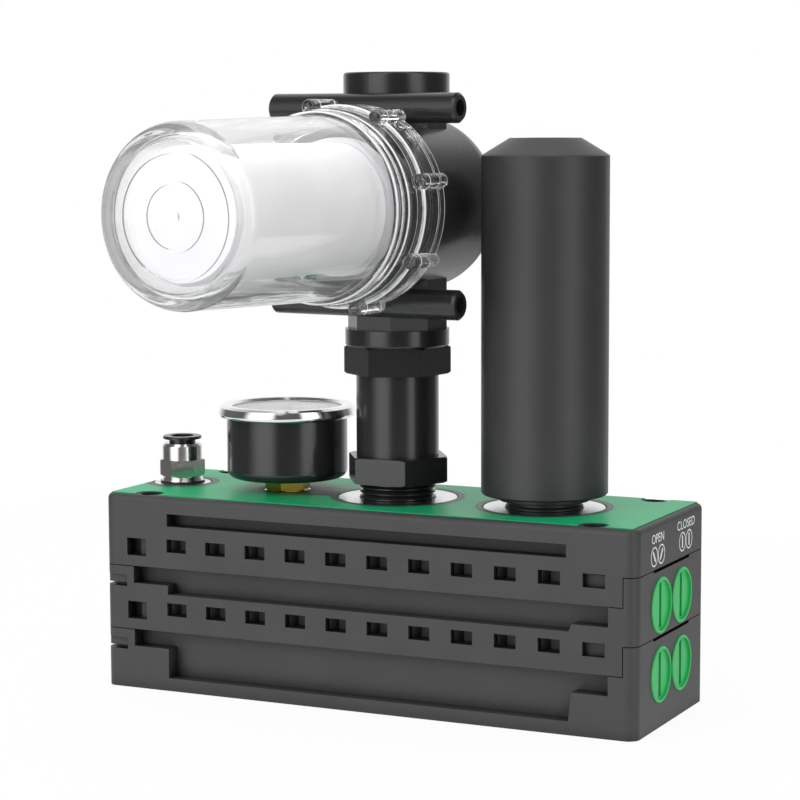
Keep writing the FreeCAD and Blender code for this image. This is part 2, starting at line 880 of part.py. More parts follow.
def bores(body, tag, bore):
    pair = ("-bore_offset", "bore_offset")
    pocket(body, tag + "_counterbores", "YZ", "end_x",
           [circle(side, bore, "lock_head + lock_head_clearance") for side in pair],
           "lock_head_depth")
    pocket(body, tag + "_bores", "YZ", "end_x",
           [circle(side, bore, "bore_radius") for side in pair], "end_x - bore_end")
    pocket(body, tag + "_undercuts", "YZ", "lug_start + lug_length + undercut_gap",
           [circle(side, bore, "lug_radius + lug_clearance") for side in pair],
           "lug_length + 2 * undercut_gap")
    entries = []
    long = "(lug_radius + lug_clearance)"
    wide = "(lug_half_width + 2 * undercut_gap)"
    for side, sign in zip(pair, ("", "-")):
        loop = []
        for along, across in ((-1, -1), (1, -1), (1, 1), (-1, 1)):
            over = "%d * %s * cos(entry_angle) - %d * %s * sin(entry_angle)"
            rise = "%d * %s * sin(entry_angle) + %d * %s * cos(entry_angle)"
            loop.append(("%s + %s" % (side, over % (along, long, across, wide)),
                         "%s + %s(%s)" % (bore, sign, rise % (along, long, across, wide))))
        entries.append(loop)
    pocket(body, tag + "_entries", "YZ", "end_x - lock_head_depth + 0.1", entries,
           "end_x - lock_head_depth + 0.1 - lug_start - lug_length")
    pocket(body, tag + "_feed_chamber", "YZ", "chamber_right",
           [box("-chamber_half_width", "chamber_half_width", "%s - feed_passage" % bore,
                "%s + feed_passage" % bore)], "chamber_length")


def screw_spots(across, up, radius):
    return [circle(left + across, low + up, radius) for left in ("", "-") for low in ("", "-")]


cap = new_body("top_cap")
pad(cap, "cap_block", "XY", "upper_ledge + joint_gap", [housing_outline()],
    "base_height - upper_ledge - joint_gap")
skirt_cuts(cap, "cap", "upper_joint")
dress("Fillet", cap, "cap_corners", "base_corner", outer_corner)


def cap_rim(edge):
    return all(near(vertex.Point.z, value("base_height")) for vertex in edge.Vertexes)


dress("Fillet", cap, "cap_edge", "base_edge", cap_rim)
pocket(cap, "cap_slot", "XZ", "half_width",
       [box("slot_left", "slot_right", "slot_bottom", "slot_top")], "pocket_depth")
skirt_windows(cap, "cap", "upper_joint")
for tag, flange, hub, passage, spots in (
        ("feed", "feed_flange", "feed_hub", "feed_passage", ("feed_x",)),
        ("gauge", "gauge_flange", "gauge_hub", "gauge_passage", ("gauge_x",)),
        ("large", "large_flange", "large_hub", "large_passage", ("vacuum_x", "exhaust_x"))):
    pocket(cap, tag + "_flange_seat", "XY", "base_height",
           [circle(spot, "0", flange + " + insert_clearance") for spot in spots],
           "insert_flange_height")
    pocket(cap, tag + "_hub_seat", "XY", "base_height",
           [circle(spot, "0", hub + " + insert_clearance") for spot in spots],
           "insert_height")
    below = "insert_height + 3" if tag == "gauge" else "base_height - upper_joint + 1"
    pocket(cap, tag + "_passage", "XY", "base_height",
           [circle(spot, "0", passage) for spot in spots], below)
pocket(cap, "gauge_gallery", "YZ", "vacuum_x", [circle("0", "gallery_height", "gallery_radius")],
       "vacuum_x - gauge_x")
pocket(cap, "screw_wells", "XY", "base_height",
       screw_spots("cap_screw_x", "cap_screw_y", "cap_screw_well"), "cap_screw_well_depth")
pocket(cap, "screw_shanks", "XY", "base_height",
       screw_spots("cap_screw_x", "cap_screw_y", "cap_screw_radius + screw_shank_gap"),
       "base_height - upper_joint + 1")
node(cap)

middle = new_body("middle_housing")
pad(middle, "middle_wall", "XY", "lower_ledge + joint_gap", [housing_outline()],
    "upper_ledge - lower_ledge - joint_gap")
skirt_cuts(middle, "middle", "lower_joint")
top, large = module_features(middle, "middle", "upper_joint", "upper_ledge", "upper_bore",
                             "upper_recess_drop")
skirt_windows(middle, "middle_skirt", "lower_joint")
pocket(middle, "middle_passages", "XY", top, large + [circle("feed_x", "0", "feed_passage")],
       "upper_joint - lower_joint + 1")
pocket(middle, "middle_gasket_seat", "XY", top,
       [box("gasket_left - 0.1", "gasket_right + 0.1", "-gasket_half - 0.1",
            "gasket_half + 0.1")], "gasket_depth")
pocket(middle, "middle_cap_screws", "XY", top,
       screw_spots("cap_screw_x", "cap_screw_y", "cap_screw_radius + screw_clearance"),
       "%s - base_height + cap_screw_well_depth + cap_screw_length + screw_tip_gap" % top)
pocket(middle, "middle_base_screws", "XY", "lower_joint",
       screw_spots("base_screw_x", "base_screw_y", "base_screw_radius + screw_clearance"),
       "base_screw_well_depth + base_screw_length + screw_tip_gap - lower_joint", True)
node(middle)

bottom = new_body("bottom_housing")
pad(bottom, "bottom_wall", "XY", "0", [housing_outline()], "lower_ledge")
top, large = module_features(bottom, "bottom", "lower_joint", "lower_ledge", "lower_bore",
                             "lower_recess_drop")
pocket(bottom, "bottom_passages", "XY", top, large + [circle("feed_x", "0", "feed_passage")],
       "%s - lower_bore + passage_below_bore" % top)
pocket(bottom, "bottom_gasket_seat", "XY", top,
       [box("gasket_left - 0.1", "gasket_right + 0.1", "-gasket_half - 0.1",
            "gasket_half + 0.1")], "gasket_depth")
pocket(bottom, "bottom_base_screws", "XY", "0",
       screw_spots("base_screw_x", "base_screw_y", "base_screw_radius + screw_shank_gap"),
       top, True)
pocket(bottom, "bottom_screw_wells", "XY", "0",
       screw_spots("base_screw_x", "base_screw_y", "base_screw_head + 0.3"),
       "base_screw_well_depth", True)
node(bottom)

for tag, joint in (("upper", "upper_joint"), ("lower", "lower_joint")):
    gasket = new_body(tag + "_gasket")
    holes = [circle(spot, "0", "large_passage + gasket_margin")
             for spot in ("vacuum_x", "exhaust_x")]
    holes.append(circle("feed_x", "0", "feed_passage + gasket_margin"))
    pad(gasket, tag + "_gasket_sheet", "XY", joint,
        [box("gasket_left", "gasket_right", "-gasket_half", "gasket_half")] + holes,
        "gasket_depth + joint_gap", True)
    node(gasket)

label = new_body("label_plate")
rim = box("label_margin - end_x", "end_x - label_margin", "label_margin - half_width",
          "half_width - label_margin")
pad(label, "label_sheet", "XY", "base_height", [rim], "label_thickness")
pocket(label, "label_notches", "XY", "base_height + label_thickness",
       screw_spots("cap_screw_x", "label_notch_y", "label_notch"), "label_thickness")
pocket(label, "label_openings", "XY", "base_height + label_thickness",
       [circle("feed_x", "0", "feed_flange + insert_clearance"),
        circle("gauge_x", "0", "gauge_flange + insert_clearance"),
        circle("vacuum_x", "0", "large_flange + insert_clearance"),
        circle("exhaust_x", "0", "large_flange + insert_clearance")], "label_thickness")
node(label)


# Screws

def screw(name, spot, radius, head, height, length, down):
    sign = "-" if down else ""
    other = "" if down else "-"
    profile = [("0", other + height), (head + " - 0.3", other + height),
               (head, "%s(%s - 0.3)" % (other, height)), (head, "0"), (radius, "0"),
               (radius, "%s(%s - %s)" % (sign, length, radius)),
               (radius + " * 0.3", sign + length), ("0", sign + length)]
    body = lathe(name, profile, spot)
    drive = [("%s * cos(%d)" % ("driver_radius", 60 * k), "%s * sin(%d)" % ("driver_radius", 60 * k))
             for k in range(6)]
    pocket(body, name + "_drive", "XY", other + height, [drive], "driver_depth", not down)
    return body


signs = (("", ""), ("", "-"), ("-", ""), ("-", "-"))
group("cap_screws", [screw("cap_screw_%d" % index,
                           (over + "cap_screw_x", up + "cap_screw_y",
                            "base_height - cap_screw_well_depth"),
                           "cap_screw_radius", "cap_screw_head", "cap_screw_head_height",
                           "cap_screw_length", True)
                     for index, (over, up) in enumerate(signs)])
group("base_screws", [screw("base_screw_%d" % index,
                            (over + "base_screw_x", up + "base_screw_y",
                             "base_screw_well_depth"),
                            "base_screw_radius", "base_screw_head", "base_screw_head_height",
                            "base_screw_length", False)
                      for index, (over, up) in enumerate(signs)])


# Port inserts

def insert(name, spot, flange, hub, bore, passage):
    profile = [(passage, "insert_bottom"), (hub + " - 0.5", "insert_bottom"),
               (hub, "insert_bottom + 0.5"), (hub, "base_height - insert_flange_height"),
               (flange, "base_height - insert_flange_height"), (flange, "seat_top - 0.3"),
               (flange + " - 0.3", "seat_top"), (bore + " + 0.3", "seat_top"),
               (bore, "seat_top - 0.3"), (bore, "insert_seat"), (passage, "insert_seat")]
    return node(lathe(name, profile, (spot, "0", "0")))


insert("feed_insert", "feed_x", "feed_flange", "feed_hub", "feed_thread + thread_clearance",
       "feed_passage")
insert("gauge_insert", "gauge_x", "gauge_flange", "gauge_hub",
       "gauge_thread + thread_clearance", "gauge_passage")
insert("vacuum_insert", "vacuum_x", "large_flange", "large_hub",
       "large_thread + thread_clearance", "large_passage")
insert("exhaust_insert", "exhaust_x", "large_flange", "large_hub",
       "large_thread + thread_clearance", "large_passage")


# Cartridges, nozzles, flaps and seals along the bores

bore_spots = [("-bore_offset", "lower_bore"), ("bore_offset", "lower_bore"),
              ("-bore_offset", "upper_bore"), ("bore_offset", "upper_bore")]


def land(centre, radius):
    half = "cartridge_land_length / 2"
    groove = "seal_groove_width / 2"
    bed = "%s - seal_groove_depth" % radius
    return [("%s - %s" % (centre, half), "cartridge_radius"),
            ("%s - %s" % (centre, half), radius), ("%s - %s" % (centre, groove), radius),
            ("%s - %s" % (centre, groove), bed), ("%s + %s" % (centre, groove), bed),
            ("%s + %s" % (centre, groove), radius), ("%s + %s" % (centre, half), radius),
            ("%s + %s" % (centre, half), "cartridge_radius")]


def cartridge(name, spot):
    body = new_body(name, ("0",) + spot)
    outside = [("cartridge_left", "cartridge_radius")]
    outside += land("feed_seal_x", "cartridge_land") + land("part_seal_x", "cartridge_land")
    outside += [("end_land_start", "cartridge_radius"), ("end_land_start", "cartridge_land"),
                ("cartridge_right", "cartridge_land"), ("cartridge_right", "0"),
                ("outlet_right", "0"), ("outlet_right", "outlet_radius"),
                ("outlet_left", "outlet_radius")]
    inside = []
    for index in (2, 1, 0):
        step = "stage_pitch * %d" % index
        throat = "first_throat + throat_growth * %d" % index
        if index < 2:
            start = "first_stage_end + stage_pitch * %d - stage_length" % (index + 1)
            inside += [(start, "stage_chamber"), (start, throat)]
        inside += [("first_stage_end + " + step, throat),
                   ("first_stage_end + " + step, "stage_chamber")]
    inside += [("nozzle_end", "stage_chamber"), ("nozzle_end", "nozzle_seat"),
               ("cartridge_left", "nozzle_seat")]
    turned(body, name + "_tube", "XY", "H_Axis", [outside + inside])
    holes = [circle("first_stage_end + stage_pitch * %d - stage_length / 2" % index, "0",
                    "suction_hole") for index in range(3)]
    for plane in ("XY", "XZ"):
        pocket(body, "%s_holes_%s" % (name, plane.lower()), plane, "0", holes,
               "cartridge_land * 4", False, True)
    pocket(body, name + "_outlet", "XY", "0",
           [box("outlet_window_left", "outlet_window_right", "-outlet_window_half",
                "outlet_window_half")], "cartridge_land * 4", False, True)
    return node(body)


def bore_ring(name, spot, loops):
    body = new_body(name, ("0",) + spot)
    turned(body, name + "_ring", "XY", "H_Axis", loops)
    return body


nozzles = []
flaps = []
cartridge_seals = []
lock_seals = []
for index, spot in enumerate(bore_spots):
    cartridge("ejector_cartridge_%d" % (index + 1), spot)
    outer = "nozzle_seat - nozzle_clearance"
    nozzles.append(bore_ring("nozzle_%d" % index, spot,
                             [[("cartridge_left", "nozzle_inlet"),
                               ("nozzle_throat_x", "nozzle_throat"),
                               ("nozzle_end", "nozzle_outlet"), ("nozzle_end", outer),
                               ("cartridge_left", outer)]]))
    for stage in range(3):
        middle_x = "first_stage_end + stage_pitch * %d - stage_length / 2" % stage
        left = "%s - flap_length / 2" % middle_x
        right = "%s + flap_length / 2" % middle_x
        inner = "cartridge_radius + flap_gap"
        flaps.append(bore_ring("flap_%d_%d" % (index, stage), spot,
                               [[(left, inner), (right, inner), (right, inner + " + flap_wall"),
                                 (left, inner + " + flap_wall")]]))
    ring_centre = "bore_radius - 0.02 - seal_thickness / 2"
    for number, place in enumerate(("feed_seal_x", "part_seal_x")):
        cartridge_seals.append(bore_ring("cartridge_seal_%d_%d" % (index, number), spot,
                                         [circle(place, ring_centre, "seal_thickness / 2")]))
    lock_seals.append(bore_ring("lock_seal_%d" % index, spot,
                                [circle("lock_seal_x", ring_centre, "seal_thickness / 2")]))
group("feed_nozzles", nozzles)
group("flap_bands", flaps)
group("cartridge_seals", cartridge_seals)
group("lock_seals", lock_seals)


def lock(name, spot):
    body = new_body(name, ("0",) + spot)
    face = "end_x + lock_proud"
    back = "end_x - lock_head_depth + lock_head_gap"
    groove = "seal_groove_width / 2"
    bed = "lock_land - seal_groove_depth"
    profile = [("lock_land_start", "0"), ("lock_land_start", "lock_land"),
               ("lock_seal_x - " + groove, "lock_land"), ("lock_seal_x - " + groove, bed),
               ("lock_seal_x + " + groove, bed), ("lock_seal_x + " + groove, "lock_land"),
               ("lock_land_end", "lock_land"), ("lock_land_end", "lock_shank"),
               (back, "lock_shank"), (back, "lock_head"),
               (face + " - lock_rim_chamfer", "lock_head"),
               (face, "lock_head - lock_rim_chamfer"), (face, "lock_head - lock_rim"),
               (face + " - lock_face_depth", "lock_head - lock_rim"),
               (face + " - lock_face_depth", "0")]
    turned(body, name + "_plug", "XY", "H_Axis", [profile])
    pad(body, name + "_lugs", "YZ", "lug_start",
        [box("-lug_radius", "lug_radius", "-lug_half_width", "lug_half_width")], "lug_length")
    pocket(body, name + "_slot", "YZ", face + " - lock_face_depth",
           [box("-lock_slot_width / 2", "lock_slot_width / 2", "-lock_slot_length / 2",
                "lock_slot_length / 2")], "lock_slot_depth")
    return node(body)


for index, spot in enumerate(bore_spots):
    lock("lock_%d" % (index + 1), spot)

# Feed fitting

at_feed = ("feed_x", "0", "0")
node(lathe("fitting_seat_seal",
           [("feed_thread + 0.2", "seat_top"), ("fitting_seat_seal_radius", "seat_top"),
            ("fitting_seat_seal_radius", "flare_low"),
            ("feed_thread + 0.2", "flare_low")], at_feed))
fitting = new_body("fitting_body", at_feed)
turned(fitting, "fitting_turned", "XZ", "V_Axis",
       [[("feed_passage", "spigot_end"), ("feed_thread - 0.5", "spigot_end"),
         ("feed_thread", "spigot_end + 0.5"), ("feed_thread", "flare_low"),
         ("fitting_flare - 0.4", "flare_low"), ("fitting_flare", "flare_low + 0.4"),
         ("fitting_hex_flats / 2 - 0.2", "fitting_hex_bottom"),
         ("fitting_hex_flats / 2 - 0.2", "fitting_hex_top"),
         ("fitting_body", "fitting_hex_top"), ("fitting_body", "fitting_shoulder"),
         ("fitting_body - 0.7", "fitting_top"),
         ("collet_neck + collet_clearance", "fitting_top"),
         ("collet_neck + collet_clearance", "fitting_chamber_top"),
         ("fitting_chamber", "fitting_chamber_top"), ("fitting_chamber", "tube_seal_bottom"),
         ("tube_radius + tube_clearance", "tube_seal_bottom"),
         ("tube_radius + tube_clearance", "tube_stop"), ("feed_passage", "tube_stop")]])
turned_hex = [hexagon("fitting_hex_flats", "-90"),
              circle("0", "0", "fitting_hex_flats / 2 - 0.4")]
pad(fitting, "fitting_hex", "XY", "fitting_hex_bottom", turned_hex,
    "fitting_hex_top - fitting_hex_bottom")
hex_bevel(fitting, "fitting_bevel", "fitting_hex_bottom", "fitting_hex_top",
          "fitting_hex_flats")
node(fitting)
collet = new_body("fitting_collet", at_feed)
collet_bore = "tube_radius + tube_clearance"
turned(collet, "collet_turned", "XZ", "V_Axis",
       [[(collet_bore, "collet_end"), ("collet_neck", "collet_end"),
         ("collet_neck", "collet_flange_bottom"),
         ("collet_flange - 0.2", "collet_flange_bottom"),
         ("collet_flange", "collet_flange_bottom + 0.2"),
         ("collet_flange", "collet_flange_top - 0.3"),
         ("collet_flange - 0.3", "collet_flange_top"), (collet_bore + " + 0.3", "collet_flange_top"),
         (collet_bore, "collet_flange_top - 0.3")]])
node(collet)
node(lathe("fitting_grip_ring",
           [(collet_bore + " + 0.05", "grip_ring_bottom"),
            ("fitting_chamber - 0.05", "grip_ring_bottom + 0.2"),
            ("fitting_chamber - 0.05", "grip_ring_bottom + grip_ring_height"),
            (collet_bore + " + 0.05", "grip_ring_bottom + grip_ring_height - 0.2")], at_feed))
node(lathe("fitting_tube_seal",
           [(collet_bore + " + 0.05", "tube_seal_bottom + tube_seal_height / 2"),
            (collet_bore + " + 0.5", "tube_seal_bottom"),
            ("fitting_chamber - 0.02", "tube_seal_bottom"),
            ("fitting_chamber - 0.02", "tube_seal_bottom + tube_seal_height"),
            (collet_bore + " + 0.5", "tube_seal_bottom + tube_seal_height")], at_feed))

# Gauge

at_gauge = ("gauge_x", "0", "0")
stem = new_body("gauge_stem", at_gauge)
turned(stem, "stem_turned", "XZ", "V_Axis",
       [[("gauge_passage / 2", "spigot_end"), ("gauge_thread - 0.4", "spigot_end"),
         ("gauge_thread", "spigot_end + 0.4"), ("gauge_thread", "seat_top"),
         ("stem_flats / 2 - 0.2", "seat_top"), ("stem_flats / 2 - 0.2", "case_bottom"),
         ("stem_neck", "case_bottom"), ("stem_neck", "stem_top"),
         ("gauge_passage / 2", "stem_top")]])
pad(stem, "stem_hex", "XY", "seat_top",
    [hexagon("stem_flats", "stem_turn - 90"), circle("0", "0", "stem_flats / 2 - 0.4")],
    "case_bottom - seat_top")
hex_bevel(stem, "stem_bevel", "seat_top", "case_bottom", "stem_flats")
node(stem)
node(lathe("gauge_case",
           [("case_hole", "case_bottom"), ("case_radius - case_round", "case_bottom", "case_round"),
            ("case_radius", "case_bottom + case_round"), ("case_radius", "case_top"),
            ("case_radius - case_wall", "case_top"),
            ("case_radius - case_wall", "case_bottom + case_round"),
            ("case_radius - case_round", "case_bottom + case_wall"),
            ("case_hole", "case_bottom + case_wall")], at_gauge))
rim_radius = "window_radius + bezel_gap"
node(lathe("gauge_bezel",
           [("case_radius + bezel_gap", "bezel_bottom"),
            ("bezel_radius - 1.3", "bezel_bottom"),
            ("bezel_radius - 0.4", "bezel_bottom + 0.4", "bezel_wide - bezel_bottom"),
            ("bezel_radius", "bezel_wide", "8"),
            ("bezel_radius - 0.5", "bezel_top - 0.7"), ("bezel_top_radius", "bezel_top"),
            ("bezel_lip + 0.9", "bezel_top"), ("bezel_lip", "window_top + 0.05"),
            (rim_radius, "window_top + 0.05"), (rim_radius, "case_top"),
            ("case_radius + bezel_gap", "case_top")], at_gauge))
node(lathe("gauge_window",
           [("0", "case_top + 0.02"), ("window_radius", "case_top + 0.02"),
            ("window_radius", "window_top"), ("0", "window_top")], at_gauge))
node(lathe("gauge_dial",
           [("dial_hole", "dial_bottom"), ("dial_radius", "dial_bottom"),
            ("dial_radius", "dial_bottom + dial_thickness"),
            ("dial_hole", "dial_bottom + dial_thickness")], at_gauge))
movement = new_body("gauge_movement", at_gauge)
turned(movement, "movement_block", "XZ", "V_Axis",
       [[("arbor_radius + arbor_clearance", "stem_top + 0.05"),
         ("movement_radius", "stem_top + 0.05"), ("movement_radius", "dial_bottom"),
         ("arbor_radius + arbor_clearance", "dial_bottom")]])
pad(movement, "movement_arm", "XY", "tube_ring_bottom",
    [box("arbor_radius + arbor_clearance + 1", "arm_length", "-arm_width", "0")],
    "tube_ring_height")
node(movement)
pressure_tube = new_body("gauge_tube", at_gauge)
turned(pressure_tube, "tube_curve", "XZ", "V_Axis",
       [box("tube_ring_radius - tube_ring_wall / 2", "tube_ring_radius + tube_ring_wall / 2",
            "tube_ring_bottom + 0.1", "tube_ring_bottom + tube_ring_height - 0.1")],
       "Revolution", "tube_ring_sweep")
node(pressure_tube)
pointer = new_body("gauge_pointer", at_gauge, "pointer_turn")
turned(pointer, "pointer_arbor", "XZ", "V_Axis",
       [[("0", "arbor_bottom"), ("arbor_radius", "arbor_bottom"),
         ("arbor_radius", "pointer_level - 0.4"), ("pointer_hub", "pointer_level - 0.4"),
         ("pointer_hub", "pointer_level + pointer_hub_height - 0.4"),
         ("0", "pointer_level + pointer_hub_height - 0.4")]])
pad(pointer, "pointer_blade", "XY", "pointer_level",
    [[("-pointer_tail", "-pointer_width"), ("0", "-pointer_width * 0.6"),
      ("pointer_reach", "-0.15"), ("pointer_reach", "0.15"), ("0", "pointer_width * 0.6"),
      ("-pointer_tail", "pointer_width")]], "pointer_thickness")
node(pointer)

# Check valve

at_vacuum = ("vacuum_x", "0", "0")
valve = new_body("valve_body", at_vacuum)
spigot = thread("spigot_end + 0.3", "large_thread_pitch", 7, "large_thread",
                "large_thread_root")
turned(valve, "valve_turned", "XZ", "V_Axis",
       [[("valve_bore", "spigot_end"), ("large_thread_root", "spigot_end")] + spigot +
        [("large_thread_root", "valve_hex_bottom"),
         ("valve_hex_flats / 2 - 0.3", "valve_hex_bottom"),
         ("valve_hex_flats / 2 - 0.3", "valve_hex_top"),
         ("valve_tube", "valve_hex_top"),
         ("valve_tube", "valve_tube_top"), ("valve_chamber", "valve_tube_top"),
         ("valve_chamber", "valve_chamber_bottom"), ("valve_bore", "valve_chamber_bottom")]])
pad(valve, "valve_hex", "XY", "valve_hex_bottom",
    [hexagon("valve_hex_flats", "valve_hex_turn - 90"),
     circle("0", "0", "valve_hex_flats / 2 - 0.6")], "valve_hex_height")
hex_bevel(valve, "valve_bevel", "valve_hex_bottom", "valve_hex_top",
          "valve_hex_flats")
node(valve)
nut = new_body("valve_nut", at_vacuum)
upper = thread("valve_nut_top + 0.2", "large_thread_pitch", 5, "large_thread",
               "large_thread_root")
turned(nut, "nut_turned", "XZ", "V_Axis",
       [[("nut_seat", "nut_bottom"), ("nut_spigot", "nut_bottom"),
         ("nut_spigot", "valve_tube_top"), ("valve_hex_flats / 2 - 0.3", "valve_tube_top"),
         ("valve_hex_flats / 2 - 0.3", "valve_nut_top"),
         ("large_thread_root", "valve_nut_top")] + upper +
        [("large_thread_root", "upper_spigot_top"), ("nut_bore", "upper_spigot_top"),
         ("nut_bore", "nut_bottom + nut_seat_height"),
         ("nut_seat", "nut_bottom + nut_seat_height - 1")]])
pad(nut, "nut_hex", "XY", "valve_tube_top",
    [hexagon("valve_hex_flats", "-valve_nut_turn - 90"),
     circle("0", "0", "valve_hex_flats / 2 - 0.6")], "valve_nut_top - valve_tube_top")
hex_bevel(nut, "nut_bevel", "valve_tube_top", "valve_nut_top", "valve_hex_flats")
node(nut)
guide = new_body("valve_guide", at_vacuum)
guide_top = "valve_chamber_bottom + guide_height"
turned(guide, "guide_disc", "XZ", "V_Axis",
       [[("guide_bore", "valve_chamber_bottom"), ("guide_radius", "valve_chamber_bottom"),
         ("guide_radius", guide_top), ("guide_bore", guide_top)]])
port = pocket(guide, "guide_port", "XY", guide_top,
              [circle("guide_port_circle", "0", "guide_port")], "guide_height")
ring(guide, "guide_ports", port, "Z_Axis", "4")
node(guide)
poppet_top = "nut_bottom - poppet_seal_height - 2 * poppet_gap"
node(lathe("valve_poppet",
           [("0", poppet_top + " - poppet_thickness - poppet_stem_length"),
            ("poppet_stem", poppet_top + " - poppet_thickness - poppet_stem_length"),
            ("poppet_stem", poppet_top + " - poppet_thickness"),
            ("poppet_radius", poppet_top + " - poppet_thickness + 0.8"),
            ("poppet_radius", poppet_top), ("0", poppet_top)], at_vacuum))
node(lathe("valve_poppet_seal",
           [("nut_seat - 1.5", poppet_top), ("poppet_radius - 0.3", poppet_top),
            ("poppet_radius - 0.3", poppet_top + " + poppet_seal_height"),
            ("nut_seat - 1.5", poppet_top + " + poppet_seal_height")], at_vacuum))
node(lathe("valve_seat_seal",
           [("large_passage + 0.5", "insert_seat"), ("large_thread_root", "insert_seat"),
            ("large_thread_root", "spigot_end - 0.05"),
            ("large_passage + 0.5", "spigot_end - 0.05")], at_vacuum))
spring = new_body("valve_spring", at_vacuum)
coil_low = guide_top + " + spring_wire + 0.05"
coil_high = poppet_top + " - poppet_thickness - spring_wire - 0.05"
coil_outline = sketch(spring, "spring_wire_section", "XZ", "0",
                      [circle("spring_radius", coil_low, "spring_wire")])
coil = spring.newObject("PartDesign::AdditiveHelix", "spring_coil")
coil.Profile = coil_outline
coil.ReferenceAxis = (coil_outline, ["V_Axis"])
coil.Mode = 2
coil.setExpression("Height", bound("%s - (%s)" % (coil_high, coil_low)))
coil.setExpression("Turns", bound("spring_turns"))
spring.Tip = coil
node(spring)

# Silencer

at_exhaust = ("exhaust_x", "0", "0")
slope = "(silencer_radius - silencer_top_radius) / (silencer_top - silencer_shoulder)"
node(lathe("silencer_shell",
           [("silencer_neck + silencer_fit", "silencer_bottom"),
            ("silencer_radius - silencer_chamfer", "silencer_bottom"),
            ("silencer_radius", "silencer_bottom + silencer_chamfer"),
            ("silencer_radius", "silencer_shoulder - 0.5"),
            ("silencer_radius - 0.6", "silencer_shoulder"),
            ("silencer_top_radius", "silencer_top"),
            ("silencer_outlet + 0.4", "silencer_top"), ("silencer_outlet", "silencer_top - 0.4"),
            ("silencer_outlet", "silencer_shoulder - silencer_wall + 1"),
            ("silencer_radius - silencer_wall", "silencer_shoulder - silencer_wall"),
            ("silencer_radius - silencer_wall", "silencer_bottom + silencer_wall"),
            ("silencer_neck + silencer_fit", "silencer_bottom + silencer_wall")], at_exhaust))
base = thread("spigot_end + 0.3", "large_thread_pitch", 5, "large_thread",
              "large_thread_root")
seat = "silencer_bottom + silencer_wall + 0.05"
node(lathe("silencer_base",
           [("valve_bore", "spigot_end"), ("large_thread_root", "spigot_end")] + base +
           [("large_thread_root", "silencer_neck_bottom"),
            ("silencer_neck - 0.3", "silencer_neck_bottom"),
            ("silencer_neck", "silencer_neck_bottom + 0.3"), ("silencer_neck", seat),
            ("silencer_radius - silencer_wall - silencer_fit", seat),
            ("silencer_radius - silencer_wall - silencer_fit",
             seat + " + silencer_flange_height"),
            ("valve_bore", seat + " + silencer_flange_height")], at_exhaust))
node(lathe("silencer_liner",
           [("liner_bore", seat + " + silencer_flange_height + 0.05"),
            ("silencer_radius - silencer_wall - silencer_fit",
             seat + " + silencer_flange_height + 0.05"),
            ("silencer_radius - silencer_wall - silencer_fit",
             "silencer_shoulder - silencer_wall - 0.3"),
            ("liner_bore", "silencer_shoulder - silencer_wall - 0.3")], at_exhaust))
node(lathe("silencer_seat_seal",
           [("large_passage + 0.5", "insert_seat"), ("large_thread_root", "insert_seat"),
            ("large_thread_root", "spigot_end - 0.05"),
            ("large_passage + 0.5", "spigot_end - 0.05")], at_exhaust))

# Filter, in its own directions: X from the port axis to the bowl end, Z up

at_filter = ("vacuum_x", "0", "filter_level")
head = new_body("filter_head", at_filter, "filter_turn")
neck = [("head_face", "neck_radius"), ("neck_groove", "neck_radius"),
        ("neck_groove", "neck_radius - neck_groove_depth"),
        ("neck_groove + neck_groove_width", "neck_radius - neck_groove_depth"),
        ("neck_groove + neck_groove_width", "neck_radius")]
for index in range(3):
    start = "neck_thread_start + neck_thread_pitch * %d" % index
    neck += [(start, "neck_radius"),
             (start + " + neck_thread_pitch * 0.35", "neck_radius - neck_thread_depth"),
             (start + " + neck_thread_pitch * 0.6", "neck_radius - neck_thread_depth")]
neck += [("neck_thread_start + neck_thread_pitch * 3", "neck_radius"),
         ("neck_end", "neck_radius"), ("neck_end", "0")]
turned(head, "head_turned", "XY", "H_Axis",
       [[("head_shoulder_s - dome_depth", "0", "-dome_crown"),
         ("head_shoulder_s - dome_join_s", "dome_join_r", "-dome_shoulder"),
         ("head_shoulder_s", "head_radius"), ("head_face", "head_radius")] + neck])


def octagon(flats):
    reach = "%s / 2 / cos(22.5)" % flats
    return [("%s * cos(%s)" % (reach, 22.5 + 45 * k), "%s * sin(%s)" % (reach, 22.5 + 45 * k))
            for k in range(8)]


pad(head, "upper_port_neck", "XY", "head_radius - 8", [octagon("port_neck_flats")],
    "port_collar_bottom - head_radius + 8")
pad(head, "upper_port_collar", "XY", "port_collar_bottom",
    [circle("0", "0", "port_collar_radius")], "port_collar_top - port_collar_bottom")
pad(head, "lower_port_neck", "XY", "8 - head_radius", [octagon("port_neck_flats")],
    "lower_collar_top - head_radius + 8", True)
pad(head, "lower_port_collar", "XY", "-lower_collar_top",
    [circle("0", "0", "lower_collar_radius")], "lower_collar_bottom - lower_collar_top", True)


def collar_rim(edge):
    if not curved_like(edge, Part.Circle) or len(edge.Vertexes) != 1:
        return False
    level = edge.Vertexes[0].Point.z
    tops = (value("port_collar_top"), -value("lower_collar_bottom"))
    return any(near(level, top) for top in tops)


dress("Fillet", head, "collar_edges", "collar_round", collar_rim)
bars = [circle("bar_s", "bar_level", "bar_radius"), circle("bar_s", "-bar_level", "bar_radius")]
pad(head, "bars", "XZ", "0", bars, "bar_length", False, True)


def bar_end(edge):
    return curved_like(edge, Part.Circle) and near(abs(edge.Curve.Center.y), value("bar_length") / 2)


